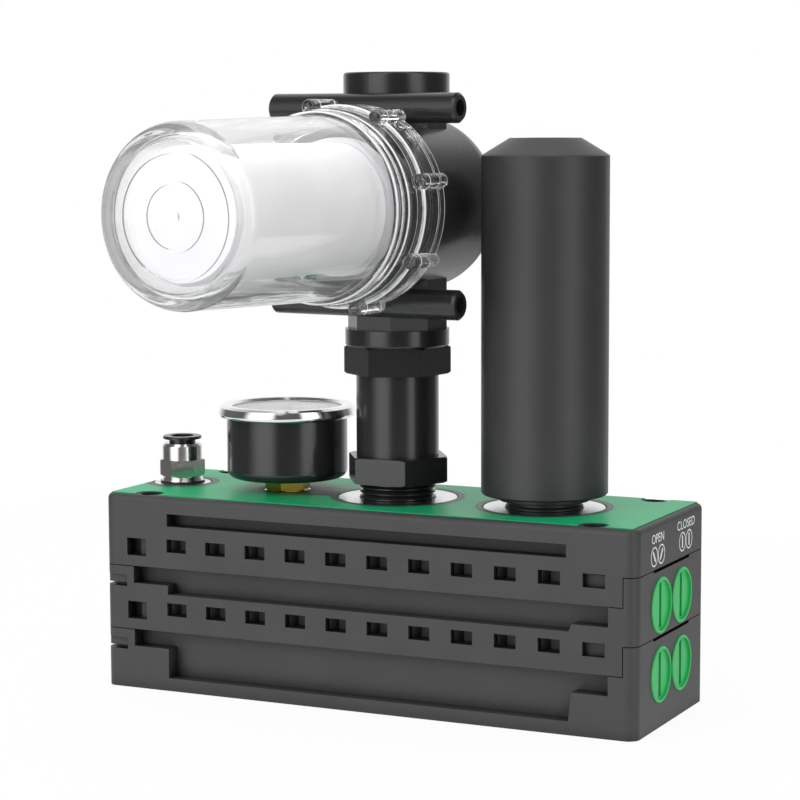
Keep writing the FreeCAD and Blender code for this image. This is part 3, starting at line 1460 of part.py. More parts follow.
dress("Chamfer", head, "bar_edges", "bar_chamfer", bar_end)
pocket(head, "bar_holes", "XZ", "0",
       [circle("bar_s", "bar_level", "bar_hole"), circle("bar_s", "-bar_level", "bar_hole")],
       "bar_length + 2", False, True)
pocket(head, "inlet_port", "XY", "port_collar_top", [circle("0", "0", "large_thread_root")],
       "port_depth")
pocket(head, "inlet_passage", "XY", "port_collar_top", [circle("0", "0", "large_passage")],
       "port_collar_top - ring_inner - 1")
pocket(head, "outlet_port", "XY", "-lower_collar_bottom",
       [circle("0", "0", "large_thread + thread_clearance")], "port_depth", True)
pocket(head, "outlet_passage", "XY", "-lower_collar_bottom",
       [circle("0", "0", "large_passage")], "lower_collar_bottom - centre_bore / 2", True)
pocket(head, "centre_bore", "YZ", "neck_end", [circle("0", "0", "centre_bore")],
       "neck_end - head_hollow_start")
low_outer = ("ring_outer * cos(ring_start_angle)", "ring_outer * sin(ring_start_angle)")
low_inner = ("ring_inner * cos(ring_start_angle)", "ring_inner * sin(ring_start_angle)")
crescent = [low_outer + ("ring_outer",), ("-" + low_outer[0], low_outer[1]),
            ("-" + low_inner[0], low_inner[1], "-ring_inner"), low_inner]
pocket(head, "inlet_ring", "YZ", "neck_end", [crescent], "neck_end - head_hollow_start")
node(head)

bowl = new_body("filter_bowl", at_filter, "filter_turn")
wall_at_end = "bowl_end_radius - bowl_wall"
turned(bowl, "bowl_turned", "XY", "H_Axis",
       [[("flange_start", "bowl_bore"),
         ("flange_start", "flange_radius - bowl_edge", "-bowl_edge"),
         ("flange_start + bowl_edge", "flange_radius"),
         ("flange_end - bowl_edge", "flange_radius", "-bowl_edge"),
         ("flange_end", "flange_radius - bowl_edge"), ("flange_end", "step_radius"),
         ("step_end - bowl_edge", "step_radius", "-bowl_edge"),
         ("step_end", "step_radius - bowl_edge"), ("step_end", "bead_radius"),
         ("bead_end - bead_round", "bead_radius", "-bead_round"),
         ("bead_end", "bead_radius - bead_round"), ("bead_end", "bowl_radius"),
         ("bowl_end - bowl_round", "bowl_end_radius", "-bowl_round"),
         ("bowl_end", "bowl_end_radius - bowl_round"),
         ("bowl_end", "bowl_face_radius"),
         ("bowl_end - bowl_face_depth", "bowl_face_radius - bowl_face_depth"),
         ("bowl_end - bowl_face_depth", "bowl_ring_outer"),
         ("bowl_end - bowl_face_depth + bowl_ring_height", "bowl_ring_outer - 0.2"),
         ("bowl_end - bowl_face_depth + bowl_ring_height", "bowl_ring_outer - bowl_ring_width"),
         ("bowl_end - bowl_face_depth", "bowl_ring_outer - bowl_ring_width - 0.2"),
         ("bowl_end - bowl_face_depth", "bowl_ring_inner"),
         ("bowl_end - bowl_face_depth + bowl_ring_height", "bowl_ring_inner - 0.2"),
         ("bowl_end - bowl_face_depth + bowl_ring_height", "bowl_ring_inner - bowl_ring_width"),
         ("bowl_end - bowl_face_depth", "bowl_ring_inner - bowl_ring_width - 0.2"),
         ("bowl_end - bowl_face_depth", "bowl_nub"),
         ("bowl_end - 0.1", "bowl_nub - 0.3"), ("bowl_end - 0.1", "0"),
         ("bowl_inner_end", "0"),
         ("bowl_inner_end", wall_at_end + " - 2", "2"),
         ("bowl_inner_end - 2", wall_at_end),
         ("bowl_shoulder", "bowl_radius - bowl_wall"),
         ("bowl_shoulder", "bowl_bore")]])
lug_tilt = "(90 - bowl_lug_angle)"
lug_end = "flange_start + bowl_lug_length"
lug_outline = sketch(bowl, "bowl_lug", "XY", "0",
                     [[("flange_start", "0"),
                       ("flange_start", "bowl_lug_radius - bowl_lug_round", "-bowl_lug_round"),
                       ("flange_start + bowl_lug_round", "bowl_lug_radius"),
                       (lug_end + " - bowl_lug_round", "bowl_lug_radius", "-bowl_lug_round"),
                       (lug_end, "bowl_lug_radius - bowl_lug_round"), (lug_end, "0")]])
lug_outline.AttachmentOffset = FreeCAD.Placement(
    FreeCAD.Vector(), FreeCAD.Rotation(FreeCAD.Vector(1, 0, 0), 10))
lug_outline.setExpression("AttachmentOffset.Rotation.Angle", bound(lug_tilt))
lug_outline.setExpression("AttachmentOffset.Base.y", bound("bowl_lug_reach * cos%s" % lug_tilt))
lug_outline.setExpression("AttachmentOffset.Base.z", bound("bowl_lug_reach * sin%s" % lug_tilt))
lug = bowl.newObject("PartDesign::Revolution", "bowl_lug")
lug.Profile = lug_outline
lug.ReferenceAxis = (lug_outline, ["H_Axis"])
bowl.Tip = lug
ring(bowl, "bowl_lugs", lug, "X_Axis", "bowl_lug_count")
node(bowl)

socket = new_body("filter_socket", at_filter, "filter_turn")
turned(socket, "socket_turned", "XY", "H_Axis",
       [[("socket_spigot_start", "socket_bore"), ("socket_spigot_start", "socket_spigot"),
         ("neck_end + 0.05", "socket_spigot"), ("neck_end + 0.05", "ring_inner - 1"),
         ("socket_disc_end - 2", "socket_disc - 3"), ("socket_disc_end - 2", "socket_disc"),
         ("socket_sleeve_end", "socket_disc"),
         ("socket_sleeve_end", "element_radius + element_gap"),
         ("socket_disc_end", "element_radius + element_gap"),
         ("socket_disc_end", "socket_bore")]])
node(socket)
element = new_body("filter_element", at_filter, "filter_turn")
turned(element, "element_turned", "XY", "H_Axis",
       [box("element_start", "element_end", "element_bore", "element_radius")])
node(element)
cap_end = "element_end + 0.05 + element_cap_thickness"
cover = new_body("element_cap", at_filter, "filter_turn")
turned(cover, "cover_turned", "XY", "H_Axis",
       [[("element_end - element_cap_lip", "0"),
         ("element_end - element_cap_lip", "element_bore - element_gap"),
         ("element_end + 0.05", "element_bore - element_gap"),
         ("element_end + 0.05", "element_radius"), (cap_end, "element_radius - 1.2"),
         (cap_end, "0")]])
node(cover)
bowl_seal = new_body("bowl_seal", at_filter, "filter_turn")
turned(bowl_seal, "seal_turned", "XY", "H_Axis",
       [circle("neck_groove + neck_groove_width / 2", "bowl_bore - 0.02 - bowl_seal_thickness / 2",
               "bowl_seal_thickness / 2")])
node(bowl_seal)

doc.recompute()

# Write the pieces

faulty = [item.Label for item in doc.Objects
          if "Invalid" in item.State or "Error" in item.State]
if faulty:
    raise SystemExit("features in error: " + ", ".join(faulty))
os.makedirs("parts", exist_ok=True)
for made in nodes:
    if not made.Shape.isValid() or made.Shape.Volume <= 0:
        raise SystemExit("bad shape: " + made.Label)
    made.Shape.exportStep("parts/%s.step" % made.Label)
print(len(nodes), "nodes written")
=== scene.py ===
import math

import bmesh
import bpy
from mathutils import Matrix, Vector


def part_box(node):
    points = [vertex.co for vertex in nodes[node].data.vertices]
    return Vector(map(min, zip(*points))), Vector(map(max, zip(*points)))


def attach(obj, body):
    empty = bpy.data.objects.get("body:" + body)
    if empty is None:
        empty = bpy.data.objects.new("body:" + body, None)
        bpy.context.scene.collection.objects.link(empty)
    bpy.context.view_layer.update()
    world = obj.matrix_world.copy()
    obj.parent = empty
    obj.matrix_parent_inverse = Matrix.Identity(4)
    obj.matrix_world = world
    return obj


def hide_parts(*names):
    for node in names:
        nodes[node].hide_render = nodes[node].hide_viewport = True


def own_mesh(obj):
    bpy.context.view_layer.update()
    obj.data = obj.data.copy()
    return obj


MM = 0.001
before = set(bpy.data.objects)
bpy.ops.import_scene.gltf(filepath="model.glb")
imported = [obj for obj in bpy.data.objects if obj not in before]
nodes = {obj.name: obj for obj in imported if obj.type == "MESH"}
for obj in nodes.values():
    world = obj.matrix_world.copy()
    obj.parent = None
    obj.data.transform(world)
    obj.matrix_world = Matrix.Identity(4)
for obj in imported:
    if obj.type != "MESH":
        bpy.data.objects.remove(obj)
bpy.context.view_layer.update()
scene = bpy.context.scene
scene.view_settings.view_transform = "Standard"
PURE_WHITE = (1, 1, 1, 1)


# Shader nodes: a value is a number, which is set, or another node's output, which is linked

def connect(tree, value, socket):
    if isinstance(value, (int, float)):
        socket.default_value = value
    else:
        tree.links.new(value, socket)


def maths(tree, operation, *values):
    made = tree.nodes.new("ShaderNodeMath")
    made.operation = operation
    for socket, value in zip(made.inputs, values):
        connect(tree, value, socket)
    return made.outputs[0]


def ranged(tree, source, start, end, low, high):
    made = tree.nodes.new("ShaderNodeMapRange")
    made.inputs["From Min"].default_value = start
    made.inputs["From Max"].default_value = end
    made.inputs["To Min"].default_value = low
    made.inputs["To Max"].default_value = high
    tree.links.new(source, made.inputs["Value"])
    return made.outputs["Result"]


def ramped(tree, source, stops):
    made = tree.nodes.new("ShaderNodeValToRGB")
    elements = made.color_ramp.elements
    while len(elements) < len(stops):
        elements.new(0.5)
    for element, (position, colour) in zip(elements, stops):
        element.position = position
        element.color = (*colour, 1)
    tree.links.new(source, made.inputs["Fac"])
    return made.outputs["Color"]


def mixed_numbers(tree, share, first, second):
    made = tree.nodes.new("ShaderNodeMix")
    for name, value in (("Factor", share), ("A", first), ("B", second)):
        connect(tree, value, made.inputs[name])
    return made.outputs["Result"]


def mixed_shaders(tree, share, first, second):
    made = tree.nodes.new("ShaderNodeMixShader")
    for socket, value in zip(made.inputs, (share, first, second)):
        tree.links.new(value, socket)
    return made.outputs[0]


def place_of(tree, kind):
    return tree.nodes.new("ShaderNodeTexCoord").outputs[kind]


def split(tree, source):
    made = tree.nodes.new("ShaderNodeSeparateXYZ")
    tree.links.new(source, made.inputs[0])
    return made.outputs


# Materials

# The part of a noise's range that is used, for roughness and for colour
ROUGH_SPAN = (0.3, 0.7)
TINT_SPAN = (0.35, 0.65)


def shader(name, colour, rough, metal=0.0, specular=0.5, transmission=0.0, ior=1.5):
    made = bpy.data.materials.new(name)
    made.use_nodes = True
    surface = made.node_tree.nodes["Principled BSDF"]
    surface.inputs["Base Color"].default_value = (*colour, 1)
    surface.inputs["Roughness"].default_value = rough
    surface.inputs["Metallic"].default_value = metal
    surface.inputs["Specular IOR Level"].default_value = specular
    surface.inputs["Transmission Weight"].default_value = transmission
    surface.inputs["IOR"].default_value = ior
    return made, made.node_tree, surface


def noise(tree, scale, detail, stretch=(1, 1, 1)):
    mapping = tree.nodes.new("ShaderNodeMapping")
    mapping.inputs["Scale"].default_value = stretch
    grain = tree.nodes.new("ShaderNodeTexNoise")
    grain.inputs["Scale"].default_value = scale
    grain.inputs["Detail"].default_value = detail
    tree.links.new(place_of(tree, "Object"), mapping.inputs["Vector"])
    tree.links.new(mapping.outputs["Vector"], grain.inputs["Vector"])
    return grain.outputs["Fac"]


def roughen(tree, surface, source, low, high):
    tree.links.new(ranged(tree, source, *ROUGH_SPAN, low, high), surface.inputs["Roughness"])


def tint(tree, surface, source, dark, light):
    colours = ramped(tree, source, list(zip(TINT_SPAN, (dark, light))))
    tree.links.new(colours, surface.inputs["Base Color"])


def bump(tree, surface, source, depth, strength=1.0):
    relief = tree.nodes.new("ShaderNodeBump")
    relief.inputs["Distance"].default_value = depth
    relief.inputs["Strength"].default_value = strength
    tree.links.new(source, relief.inputs["Height"])
    tree.links.new(relief.outputs["Normal"], surface.inputs["Normal"])


# Noises are given by scale and detail
PLASTIC_CLOUDS = (60, 3)
PLASTIC_DETAIL = 3
PLASTIC_ROUGH_VARY = 0.05


def plastic(name, colour, rough, grain=2500, depth=0.00002, vary=0.08, specular=0.5):
    made, tree, surface = shader(name, colour, rough, specular=specular)
    fine = noise(tree, grain, PLASTIC_DETAIL)
    dark = tuple(c * (1 - vary) for c in colour)
    light = tuple(min(c * (1 + vary), 1) for c in colour)
    tint(tree, surface, noise(tree, *PLASTIC_CLOUDS), dark, light)
    roughen(tree, surface, fine, rough - PLASTIC_ROUGH_VARY, rough + PLASTIC_ROUGH_VARY)
    bump(tree, surface, fine, depth)
    return made


METAL_CLOUDS = (90, 2)
METAL_DETAIL = 2
METAL_BUMP = 0.6
METAL_SMOOTHER, METAL_ROUGHER = 0.03, 0.04
METAL_SMOOTHEST = 0.02


def metal(name, colour, rough, stretch=(1, 1, 1), grain=900, depth=0.000008, vary=0.06):
    made, tree, surface = shader(name, colour, rough, metal=1.0)
    fine = noise(tree, grain, METAL_DETAIL, stretch)
    low = max(rough - METAL_SMOOTHER, METAL_SMOOTHEST)
    dark = tuple(c * (1 - vary) for c in colour)
    tint(tree, surface, noise(tree, *METAL_CLOUDS), dark, colour)
    roughen(tree, surface, fine, low, rough + METAL_ROUGHER)
    bump(tree, surface, fine, depth, METAL_BUMP)
    return made


CLEAR_GRAIN = (160, 2)
CLEAR_WAVES = (35, 1)
CLEAR_WAVE_DEPTH = 0.000015
CLEAR_ROUGH_VARY = 0.008


def thin_clear(name, colour, rough, ior, straight):
    """Clear plastic: a share of the light goes straight through, and so do shadow rays."""
    made, tree, surface = shader(name, colour, rough, transmission=1.0, ior=ior)
    roughen(tree, surface, noise(tree, *CLEAR_GRAIN), rough, rough + CLEAR_ROUGH_VARY)
    bump(tree, surface, noise(tree, *CLEAR_WAVES), CLEAR_WAVE_DEPTH)
    path = tree.nodes.new("ShaderNodeLightPath")
    share = maths(tree, "MAXIMUM", path.outputs["Is Shadow Ray"], straight)
    through = tree.nodes.new("ShaderNodeBsdfTransparent")
    through.inputs["Color"].default_value = PURE_WHITE
    mix = mixed_shaders(tree, share, surface.outputs[0], through.outputs[0])
    tree.links.new(mix, tree.nodes["Material Output"].inputs["Surface"])
    return made


OPENNESS_SPAN = (0.35, 0.85)
OPENNESS_SAMPLES = 8


def shade_recesses(made, reach, darkest):
    """Shade deep in the moulded recesses: the colour falls off where walls are close."""
    tree = made.node_tree
    surface = tree.nodes["Principled BSDF"]
    colour = surface.inputs["Base Color"].links[0].from_socket
    openness = tree.nodes.new("ShaderNodeAmbientOcclusion")
    openness.samples = OPENNESS_SAMPLES
    openness.inputs["Distance"].default_value = reach
    fall = ranged(tree, openness.outputs["AO"], *OPENNESS_SPAN, darkest, 1.0)
    scaled = tree.nodes.new("ShaderNodeVectorMath")
    scaled.operation = "SCALE"
    tree.links.new(colour, scaled.inputs[0])
    tree.links.new(fall, scaled.inputs["Scale"])
    tree.links.new(scaled.outputs["Vector"], surface.inputs["Base Color"])


# Colour and roughness, then the scale and depth of the grain and how far the colour varies
HOUSING = plastic("housing_plastic", (0.038, 0.038, 0.0392), 0.5, 3200, 0.00003, 0.06)
shade_recesses(HOUSING, reach=0.007, darkest=0.12)
SILENCER = plastic("silencer_plastic", (0.03, 0.03, 0.031), 0.42, 5200, 0.00003, 0.05)
VALVE = plastic("valve_plastic", (0.018, 0.018, 0.019), 0.23, 2600, 0.000002, 0.05)
GLOSSY_BLACK = plastic("gauge_enamel", (0.017, 0.017, 0.019), 0.18, 1800, 0.000002, 0.04)
RUBBER = plastic("rubber", (0.018, 0.018, 0.018), 0.62, 2600, 0.00002)
GREEN = plastic("lock_plastic", (0.02, 0.47, 0.11), 0.42, 1800, 0.000005, 0.04)
LABEL = plastic("label_green", (0.005, 0.34, 0.13), 0.42, 4200, 0.000006, 0.03, specular=0.35)
CARTRIDGE = plastic("cartridge_plastic", (0.3, 0.31, 0.32), 0.4)
WHITE = plastic("white_element", (0.96, 0.96, 0.96), 0.6, 900, 0.00008, 0.03)
WHITE_CAP = plastic("white_cap", (0.64, 0.64, 0.65), 0.45, 900, 0.00003, 0.03)
FELT = plastic("felt", (0.7, 0.69, 0.66), 0.85, 1400, 0.0002, 0.1)
DIAL = plastic("dial_white", (0.86, 0.86, 0.84), 0.42, 2000, 0.000004, 0.01)
INK_BLACK = plastic("ink_black", (0.02, 0.02, 0.02), 0.45, 2600, 0.000004)
INK_GREY = plastic("ink_grey", (0.05, 0.052, 0.054), 0.4, 2600, 0.000004, 0.04)
INK_WHITE = plastic("ink_white", (0.82, 0.82, 0.82), 0.5, 2600, 0.000004, 0.02)
NICKEL = metal("nickel", (0.74, 0.73, 0.7), 0.16)
CHROME = metal("chrome", (0.84, 0.84, 0.85), 0.1, depth=0.000002)
BRASS = metal("brass", (0.5, 0.37, 0.07), 0.3)
STEEL = metal("screw_steel", (0.34, 0.34, 0.35), 0.32)
SEAT = metal("seat_metal", (0.72, 0.73, 0.74), 0.24, stretch=(1, 14, 1))
SPRING = metal("spring_steel", (0.6, 0.6, 0.6), 0.25)
BOWL = thin_clear("clear_bowl", (0.965, 0.965, 0.975), 0.002, ior=1.46, straight=0.14)
WINDOW = thin_clear("clear_window", (0.98, 0.985, 0.99), 0.0, ior=1.45, straight=0.12)

# The filter lies across the valve: its axis turns from +X, and edges lie along it from the valve
FILTER_TURN = math.radians(-95)
VALVE_LOW, VALVE_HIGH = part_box("valve_body")
VALVE_ALONG = (VALVE_LOW.x + VALVE_HIGH.x) / 2 / MM * math.cos(FILTER_TURN)
# Places of the bowl's edges along its axis; pale rings painted there are painted highlights, not
# light
BOWL_EDGES = (26.1, 38.4, 46.1, 52.4)
BOWL_EDGE_WIDTH = 0.4
BOWL_EDGE_HIGHLIGHT_SHARE = 0.8
BOWL_EDGE_HIGHLIGHT_COLOUR = (0.95, 0.95, 0.96, 1)


def paint_edge_highlights(made):
    """Painted highlights: pale rings painted across the axis of the turned bowl, where its
    rounded edges would catch the light.
    """
    tree = made.node_tree
    last = tree.nodes["Material Output"].inputs["Surface"]
    body = last.links[0].from_socket
    along = tree.nodes.new("ShaderNodeVectorMath")
    along.operation = "DOT_PRODUCT"
    along.inputs[1].default_value = (math.cos(FILTER_TURN), math.sin(FILTER_TURN), 0)
    tree.links.new(place_of(tree, "Object"), along.inputs[0])
    share = 0.0
    for edge in BOWL_EDGES:
        at_edge = maths(tree, "COMPARE", along.outputs["Value"], (VALVE_ALONG + edge) * MM,
                        BOWL_EDGE_WIDTH / 2 * MM)
        share = maths(tree, "MAXIMUM", share, at_edge)
    # A pale diffuse shader mixed in at each edge: the painted highlight
    highlight_paint = tree.nodes.new("ShaderNodeBsdfDiffuse")
    highlight_paint.inputs["Color"].default_value = BOWL_EDGE_HIGHLIGHT_COLOUR
    some = maths(tree, "MULTIPLY", share, BOWL_EDGE_HIGHLIGHT_SHARE)
    tree.links.new(mixed_shaders(tree, some, body, highlight_paint.outputs[0]), last)


paint_edge_highlights(BOWL)

finishes = {
    HOUSING: ("top_cap", "middle_housing", "bottom_housing"),
    RUBBER: ("upper_gasket", "lower_gasket", "flap_bands", "cartridge_seals", "lock_seals",
             "fitting_seat_seal", "fitting_tube_seal", "valve_poppet_seal", "valve_seat_seal",
             "silencer_seat_seal", "bowl_seal"),
    LABEL: ("label_plate",),
    STEEL: ("cap_screws", "base_screws"),
    SEAT: ("feed_insert", "gauge_insert", "vacuum_insert", "exhaust_insert"),
    CARTRIDGE: ("ejector_cartridge_1", "ejector_cartridge_2", "ejector_cartridge_3",
                "ejector_cartridge_4", "valve_guide"),
    BRASS: ("feed_nozzles", "gauge_stem", "gauge_movement", "gauge_tube"),
    GREEN: ("lock_1", "lock_2", "lock_3", "lock_4"),
    NICKEL: ("fitting_body",),
    VALVE: ("valve_body", "valve_nut", "filter_head", "fitting_collet"),
    GLOSSY_BLACK: ("gauge_case",),
    SPRING: ("fitting_grip_ring", "valve_spring"),
    CHROME: ("gauge_bezel",),
    WINDOW: ("gauge_window",),
    DIAL: ("gauge_dial",),
    INK_BLACK: ("gauge_pointer",),
    WHITE_CAP: ("valve_poppet", "element_cap", "filter_socket"),
    SILENCER: ("silencer_shell", "silencer_base"),
    FELT: ("silencer_liner",),
    BOWL: ("filter_bowl",),
    WHITE: ("filter_element",),
}
for material, names in finishes.items():
    for name in names:
        nodes[name].data.materials.clear()
        nodes[name].data.materials.append(material)


# Pieces in mesh code. Flat shapes are loops of points in millimetres.

def linked(name, data):
    made = bpy.data.objects.new(name, data)
    scene.collection.objects.link(made)
    return made


def mesh_from(build):
    mesh = bpy.data.meshes.new("mesh")
    build.to_mesh(mesh)
    build.free()
    return mesh


def housing_piece(name, mesh, material):
    mesh.name = name
    mesh.materials.clear()
    mesh.materials.append(material)
    piece = linked(name, mesh)
    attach(piece, "housing")
    return piece


def flat_piece(name, loops, place, material):
    build = bmesh.new()
    for loop in loops:
        build.faces.new([build.verts.new(place(x, y)) for x, y in loop])
    housing_piece(name, mesh_from(build), material)


def band(centre, inner, outer, start=0.0, sweep=360.0, steps=96):
    loops = []
    for step in range(steps):
        first = math.radians(start + sweep * step / steps)
        last = math.radians(start + sweep * (step + 1) / steps)
        loops.append([(centre[0] + reach * math.cos(angle), centre[1] + reach * math.sin(angle))
                      for reach, angle in ((inner, first), (outer, first), (outer, last),
                                           (inner, last))])
    return loops


def bar(start, end, width):
    along = Vector((end[0] - start[0], end[1] - start[1]))
    side = Vector((-along.y, along.x)).normalized() * width / 2
    return [(start[0] - side.x, start[1] - side.y), (end[0] - side.x, end[1] - side.y),
            (end[0] + side.x, end[1] + side.y), (start[0] + side.x, start[1] + side.y)]


def letters(words, size):
    curve = bpy.data.curves.new("letters", "FONT")
    curve.body = words
    curve.size = size
    curve.align_x = "CENTER"
    curve.align_y = "CENTER"
    holder = linked("letters", curve)
    bpy.context.view_layer.update()
    mesh = bpy.data.meshes.new_from_object(holder)
    bpy.data.objects.remove(holder)
    return mesh


# Print on the label: rings round the ports and a stripe between them

LABEL_LOW, LABEL_HIGH = (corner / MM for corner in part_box("label_plate"))
PLATE_MARGIN = 0.1
PLATE_EDGE = LABEL_LOW.x + PLATE_MARGIN
INK_THICK = 0.02
# The height of each print, in thicknesses of ink
STRIPE_INK, STRIPE_LINE_INK, RING_INK, RING_LINE_INK = 0.5, 1, 2, 3
EDGE_LINE = 0.5
SEAT_GAP = 0.15
THINNEST = 0.01
STRIPE_HALF = 8.5
STRIPE_STEPS = 16


def printed(layer):
    return lambda x, y: Vector((x, y, LABEL_HIGH.z + layer * INK_THICK)) * MM


def port(node):
    """Where a port is along X, and its radius."""
    low, high = (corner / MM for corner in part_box(node))
    return (low.x + high.x) / 2, (high.x - low.x) / 2


def on_plate(loops):
    """The printing stops at the left edge of the plate."""
    cut = [[(max(x, PLATE_EDGE), y) for x, y in loop] for loop in loops]
    return [loop for loop in cut if max(x for x, y in loop) > PLATE_EDGE + THINNEST]


def arc_edge(centre, side):
    """Points down one side of a ring, inside its edge line, over the stripe's width."""
    radius = RING_REACH[centre][1] - EDGE_LINE
    reach = math.asin(min(STRIPE_HALF / radius, 1))
    turns = [-reach + 2 * reach * step / STRIPE_STEPS for step in range(STRIPE_STEPS + 1)]
    return [(centre + side * radius * math.cos(a), radius * math.sin(a)) for a in turns]


def between(first, last):
    return [[first[i], last[i], last[i + 1], first[i + 1]] for i in range(len(first) - 1)]


FEED, FEED_SEAT = port("feed_insert")
DIAL_X, GAUGE_SEAT = port("gauge_insert")
VACUUM, LARGE_SEAT = port("vacuum_insert")
EXHAUST, EXHAUST_SEAT = port("exhaust_insert")
# The radius of each port's seat, and how far its ring reaches
RING_REACH = {FEED: (FEED_SEAT, 13.3), DIAL_X: (GAUGE_SEAT, 10.3), VACUUM: (LARGE_SEAT, 23.3),
              EXHAUST: (EXHAUST_SEAT, 23.3)}
bands, outlines = [], []
for along, (seat, reach) in RING_REACH.items():
    inside = seat + SEAT_GAP
    bands += band((along, 0), inside, reach)
    outlines += band((along, 0), inside, inside + EDGE_LINE)
    outlines += band((along, 0), reach - EDGE_LINE, reach)
flat_piece("label_rings", on_plate(bands), printed(RING_INK), INK_GREY)
flat_piece("label_ring_lines", on_plate(outlines), printed(RING_LINE_INK), INK_BLACK)

feed_left = arc_edge(FEED, -1)
plate_left = [(PLATE_EDGE, y) for x, y in feed_left]
stripe, lines = [], []
for first, last in ((plate_left, feed_left), (arc_edge(DIAL_X, 1), arc_edge(VACUUM, -1))):
    stripe += between(first, last)
    lines += [bar(first[end], last[end], EDGE_LINE) for end in (0, -1)]
flat_piece("label_stripe", on_plate(stripe), printed(STRIPE_INK), INK_GREY)
flat_piece("label_stripe_lines", lines, printed(STRIPE_LINE_INK), INK_BLACK)


# Marks on the lock end: words, and circles with the slot's direction. Places are along Y and up.

END_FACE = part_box("top_cap")[1].x / MM + INK_THICK
WORD_HEIGHT = 3.1
CAPITAL_SHARE = 0.72
WORDS = (("mark_open", "OPEN", (-13.7, 63.7), 11.5),
         ("mark_closed", "CLOSED", (13.9, 64.4), 17.5))
SIGN_RADII = (2.85, 3.3)
SIGN_STEPS = 48
SIGN_SLOT_HALF, SIGN_SLOT_WIDTH = 2.1, 0.95
SIGNS = (((-17.1, 58), 35), ((-10.3, 58), -35), ((10.4, 58.8), 0), ((17, 58.8), 0))

for name, words, centre, width in WORDS:
    mesh = letters(words, WORD_HEIGHT / CAPITAL_SHARE)
    wide = max(v.co.x for v in mesh.vertices) - min(v.co.x for v in mesh.vertices)
    for vertex in mesh.vertices:
        across = vertex.co.x * width / wide
        vertex.co = Vector((END_FACE, centre[0] + across, centre[1] + vertex.co.y)) * MM
    housing_piece(name, mesh, INK_WHITE)
signs = []
for centre, tilt in SIGNS:
    signs += band(centre, *SIGN_RADII, steps=SIGN_STEPS)
    lean = math.radians(tilt)
    over = (-math.sin(lean) * SIGN_SLOT_HALF, math.cos(lean) * SIGN_SLOT_HALF)
    signs.append(bar((centre[0] - over[0], centre[1] - over[1]),
                     (centre[0] + over[0], centre[1] + over[1]), SIGN_SLOT_WIDTH))
flat_piece("mark_signs", signs, lambda y, z: Vector((END_FACE, y, z)) * MM, INK_WHITE)


# Gauge dial: long marks every fifth step, numbers every tenth

DIAL_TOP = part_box("gauge_dial")[1].z / MM + INK_THICK
SWEEP_START, SWEEP = -45, 265
DIAL_LINE = (15.6, 15.9)
MARK_STEPS, LONG_EVERY = 50, 5
MARK_OUTER = 15.7
LONG_MARK = (13.6, 0.34)
SHORT_MARK = (14.6, 0.16)
NUMBERS = ("0", "20", "40", "60", "80", "100")
NUMBER_REACH, NUMBER_SIZE = 11, 2.6


def on_dial(x, y):
    return Vector((DIAL_X + x, y, DIAL_TOP)) * MM


def dial_angle(share):
    return math.radians(SWEEP_START + SWEEP * share)


marks = band((0, 0), *DIAL_LINE, SWEEP_START, SWEEP)
for step in range(MARK_STEPS + 1):
    angle = dial_angle(step / MARK_STEPS)
    inner, width = SHORT_MARK if step % LONG_EVERY else LONG_MARK
    spots = [(r * math.cos(angle), r * math.sin(angle)) for r in (inner, MARK_OUTER)]
    marks.append(bar(spots[0], spots[1], width))
flat_piece("dial_marks", marks, on_dial, INK_BLACK)

build = bmesh.new()
for step, words in enumerate(NUMBERS):
    angle = dial_angle(step / (len(NUMBERS) - 1))
    spot = (NUMBER_REACH * math.cos(angle), NUMBER_REACH * math.sin(angle))
    mesh = letters(words, NUMBER_SIZE)
    for vertex in mesh.vertices:
        vertex.co = on_dial(vertex.co.x + spot[0], vertex.co.y + spot[1])
    build.from_mesh(mesh)
housing_piece("dial_numbers", mesh_from(build), INK_BLACK)


# The spring of the check valve, as a coil of wire in place of its part

SPRING_WIRE, SPRING_TURNS = 0.5, 5
COIL_STEPS, WIRE_STEPS = 48, 12


def coil_mesh(foot, reach, rise):
    build = bmesh.new()
    rings = []
    for step in range(SPRING_TURNS * COIL_STEPS + 1):
        angle = 2 * math.pi * step / COIL_STEPS
        out = Vector((math.cos(angle), math.sin(angle), 0))
        height = SPRING_WIRE + rise * step / (SPRING_TURNS * COIL_STEPS)
        middle = foot + out * reach + Vector((0, 0, height))
        rings.append([])
        for side in range(WIRE_STEPS):
            around = 2 * math.pi * side / WIRE_STEPS
            offset = out * math.cos(around) + Vector((0, 0, math.sin(around)))
            rings[-1].append(build.verts.new((middle + offset * SPRING_WIRE) * MM))
    for first, last in zip(rings, rings[1:]):
        for side in range(WIRE_STEPS):
            after = (side + 1) % WIRE_STEPS
            build.faces.new((first[side], first[after], last[after], last[side]))
    build.faces.new(rings[0])
    build.faces.new(rings[-1])
    bmesh.ops.recalc_face_normals(build, faces=build.faces)
    return mesh_from(build)


low, high = (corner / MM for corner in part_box("valve_spring"))
foot = Vector(((low.x + high.x) / 2, (low.y + high.y) / 2, low.z))
mesh = coil_mesh(foot, (high.x - low.x) / 2 - SPRING_WIRE, high.z - low.z - 2 * SPRING_WIRE)
coil = housing_piece("coil_spring", mesh, SPRING)
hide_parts("valve_spring")
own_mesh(coil)


# Floor: white with a part of its own shading, which keeps the soft shadow

FLOOR_COLOUR, FLOOR_ROUGH = (0.86, 0.86, 0.86), 0.7
FLOOR_WHITE = 0.94
# Reflections of it fade behind the object, from the first of these places along Y to the second
FLOOR_FADE = (0.0, 0.09)
FLOOR_FADED = 0.12
FLOOR_REACH, FLOOR_HEIGHT = 0.36, -0.0002


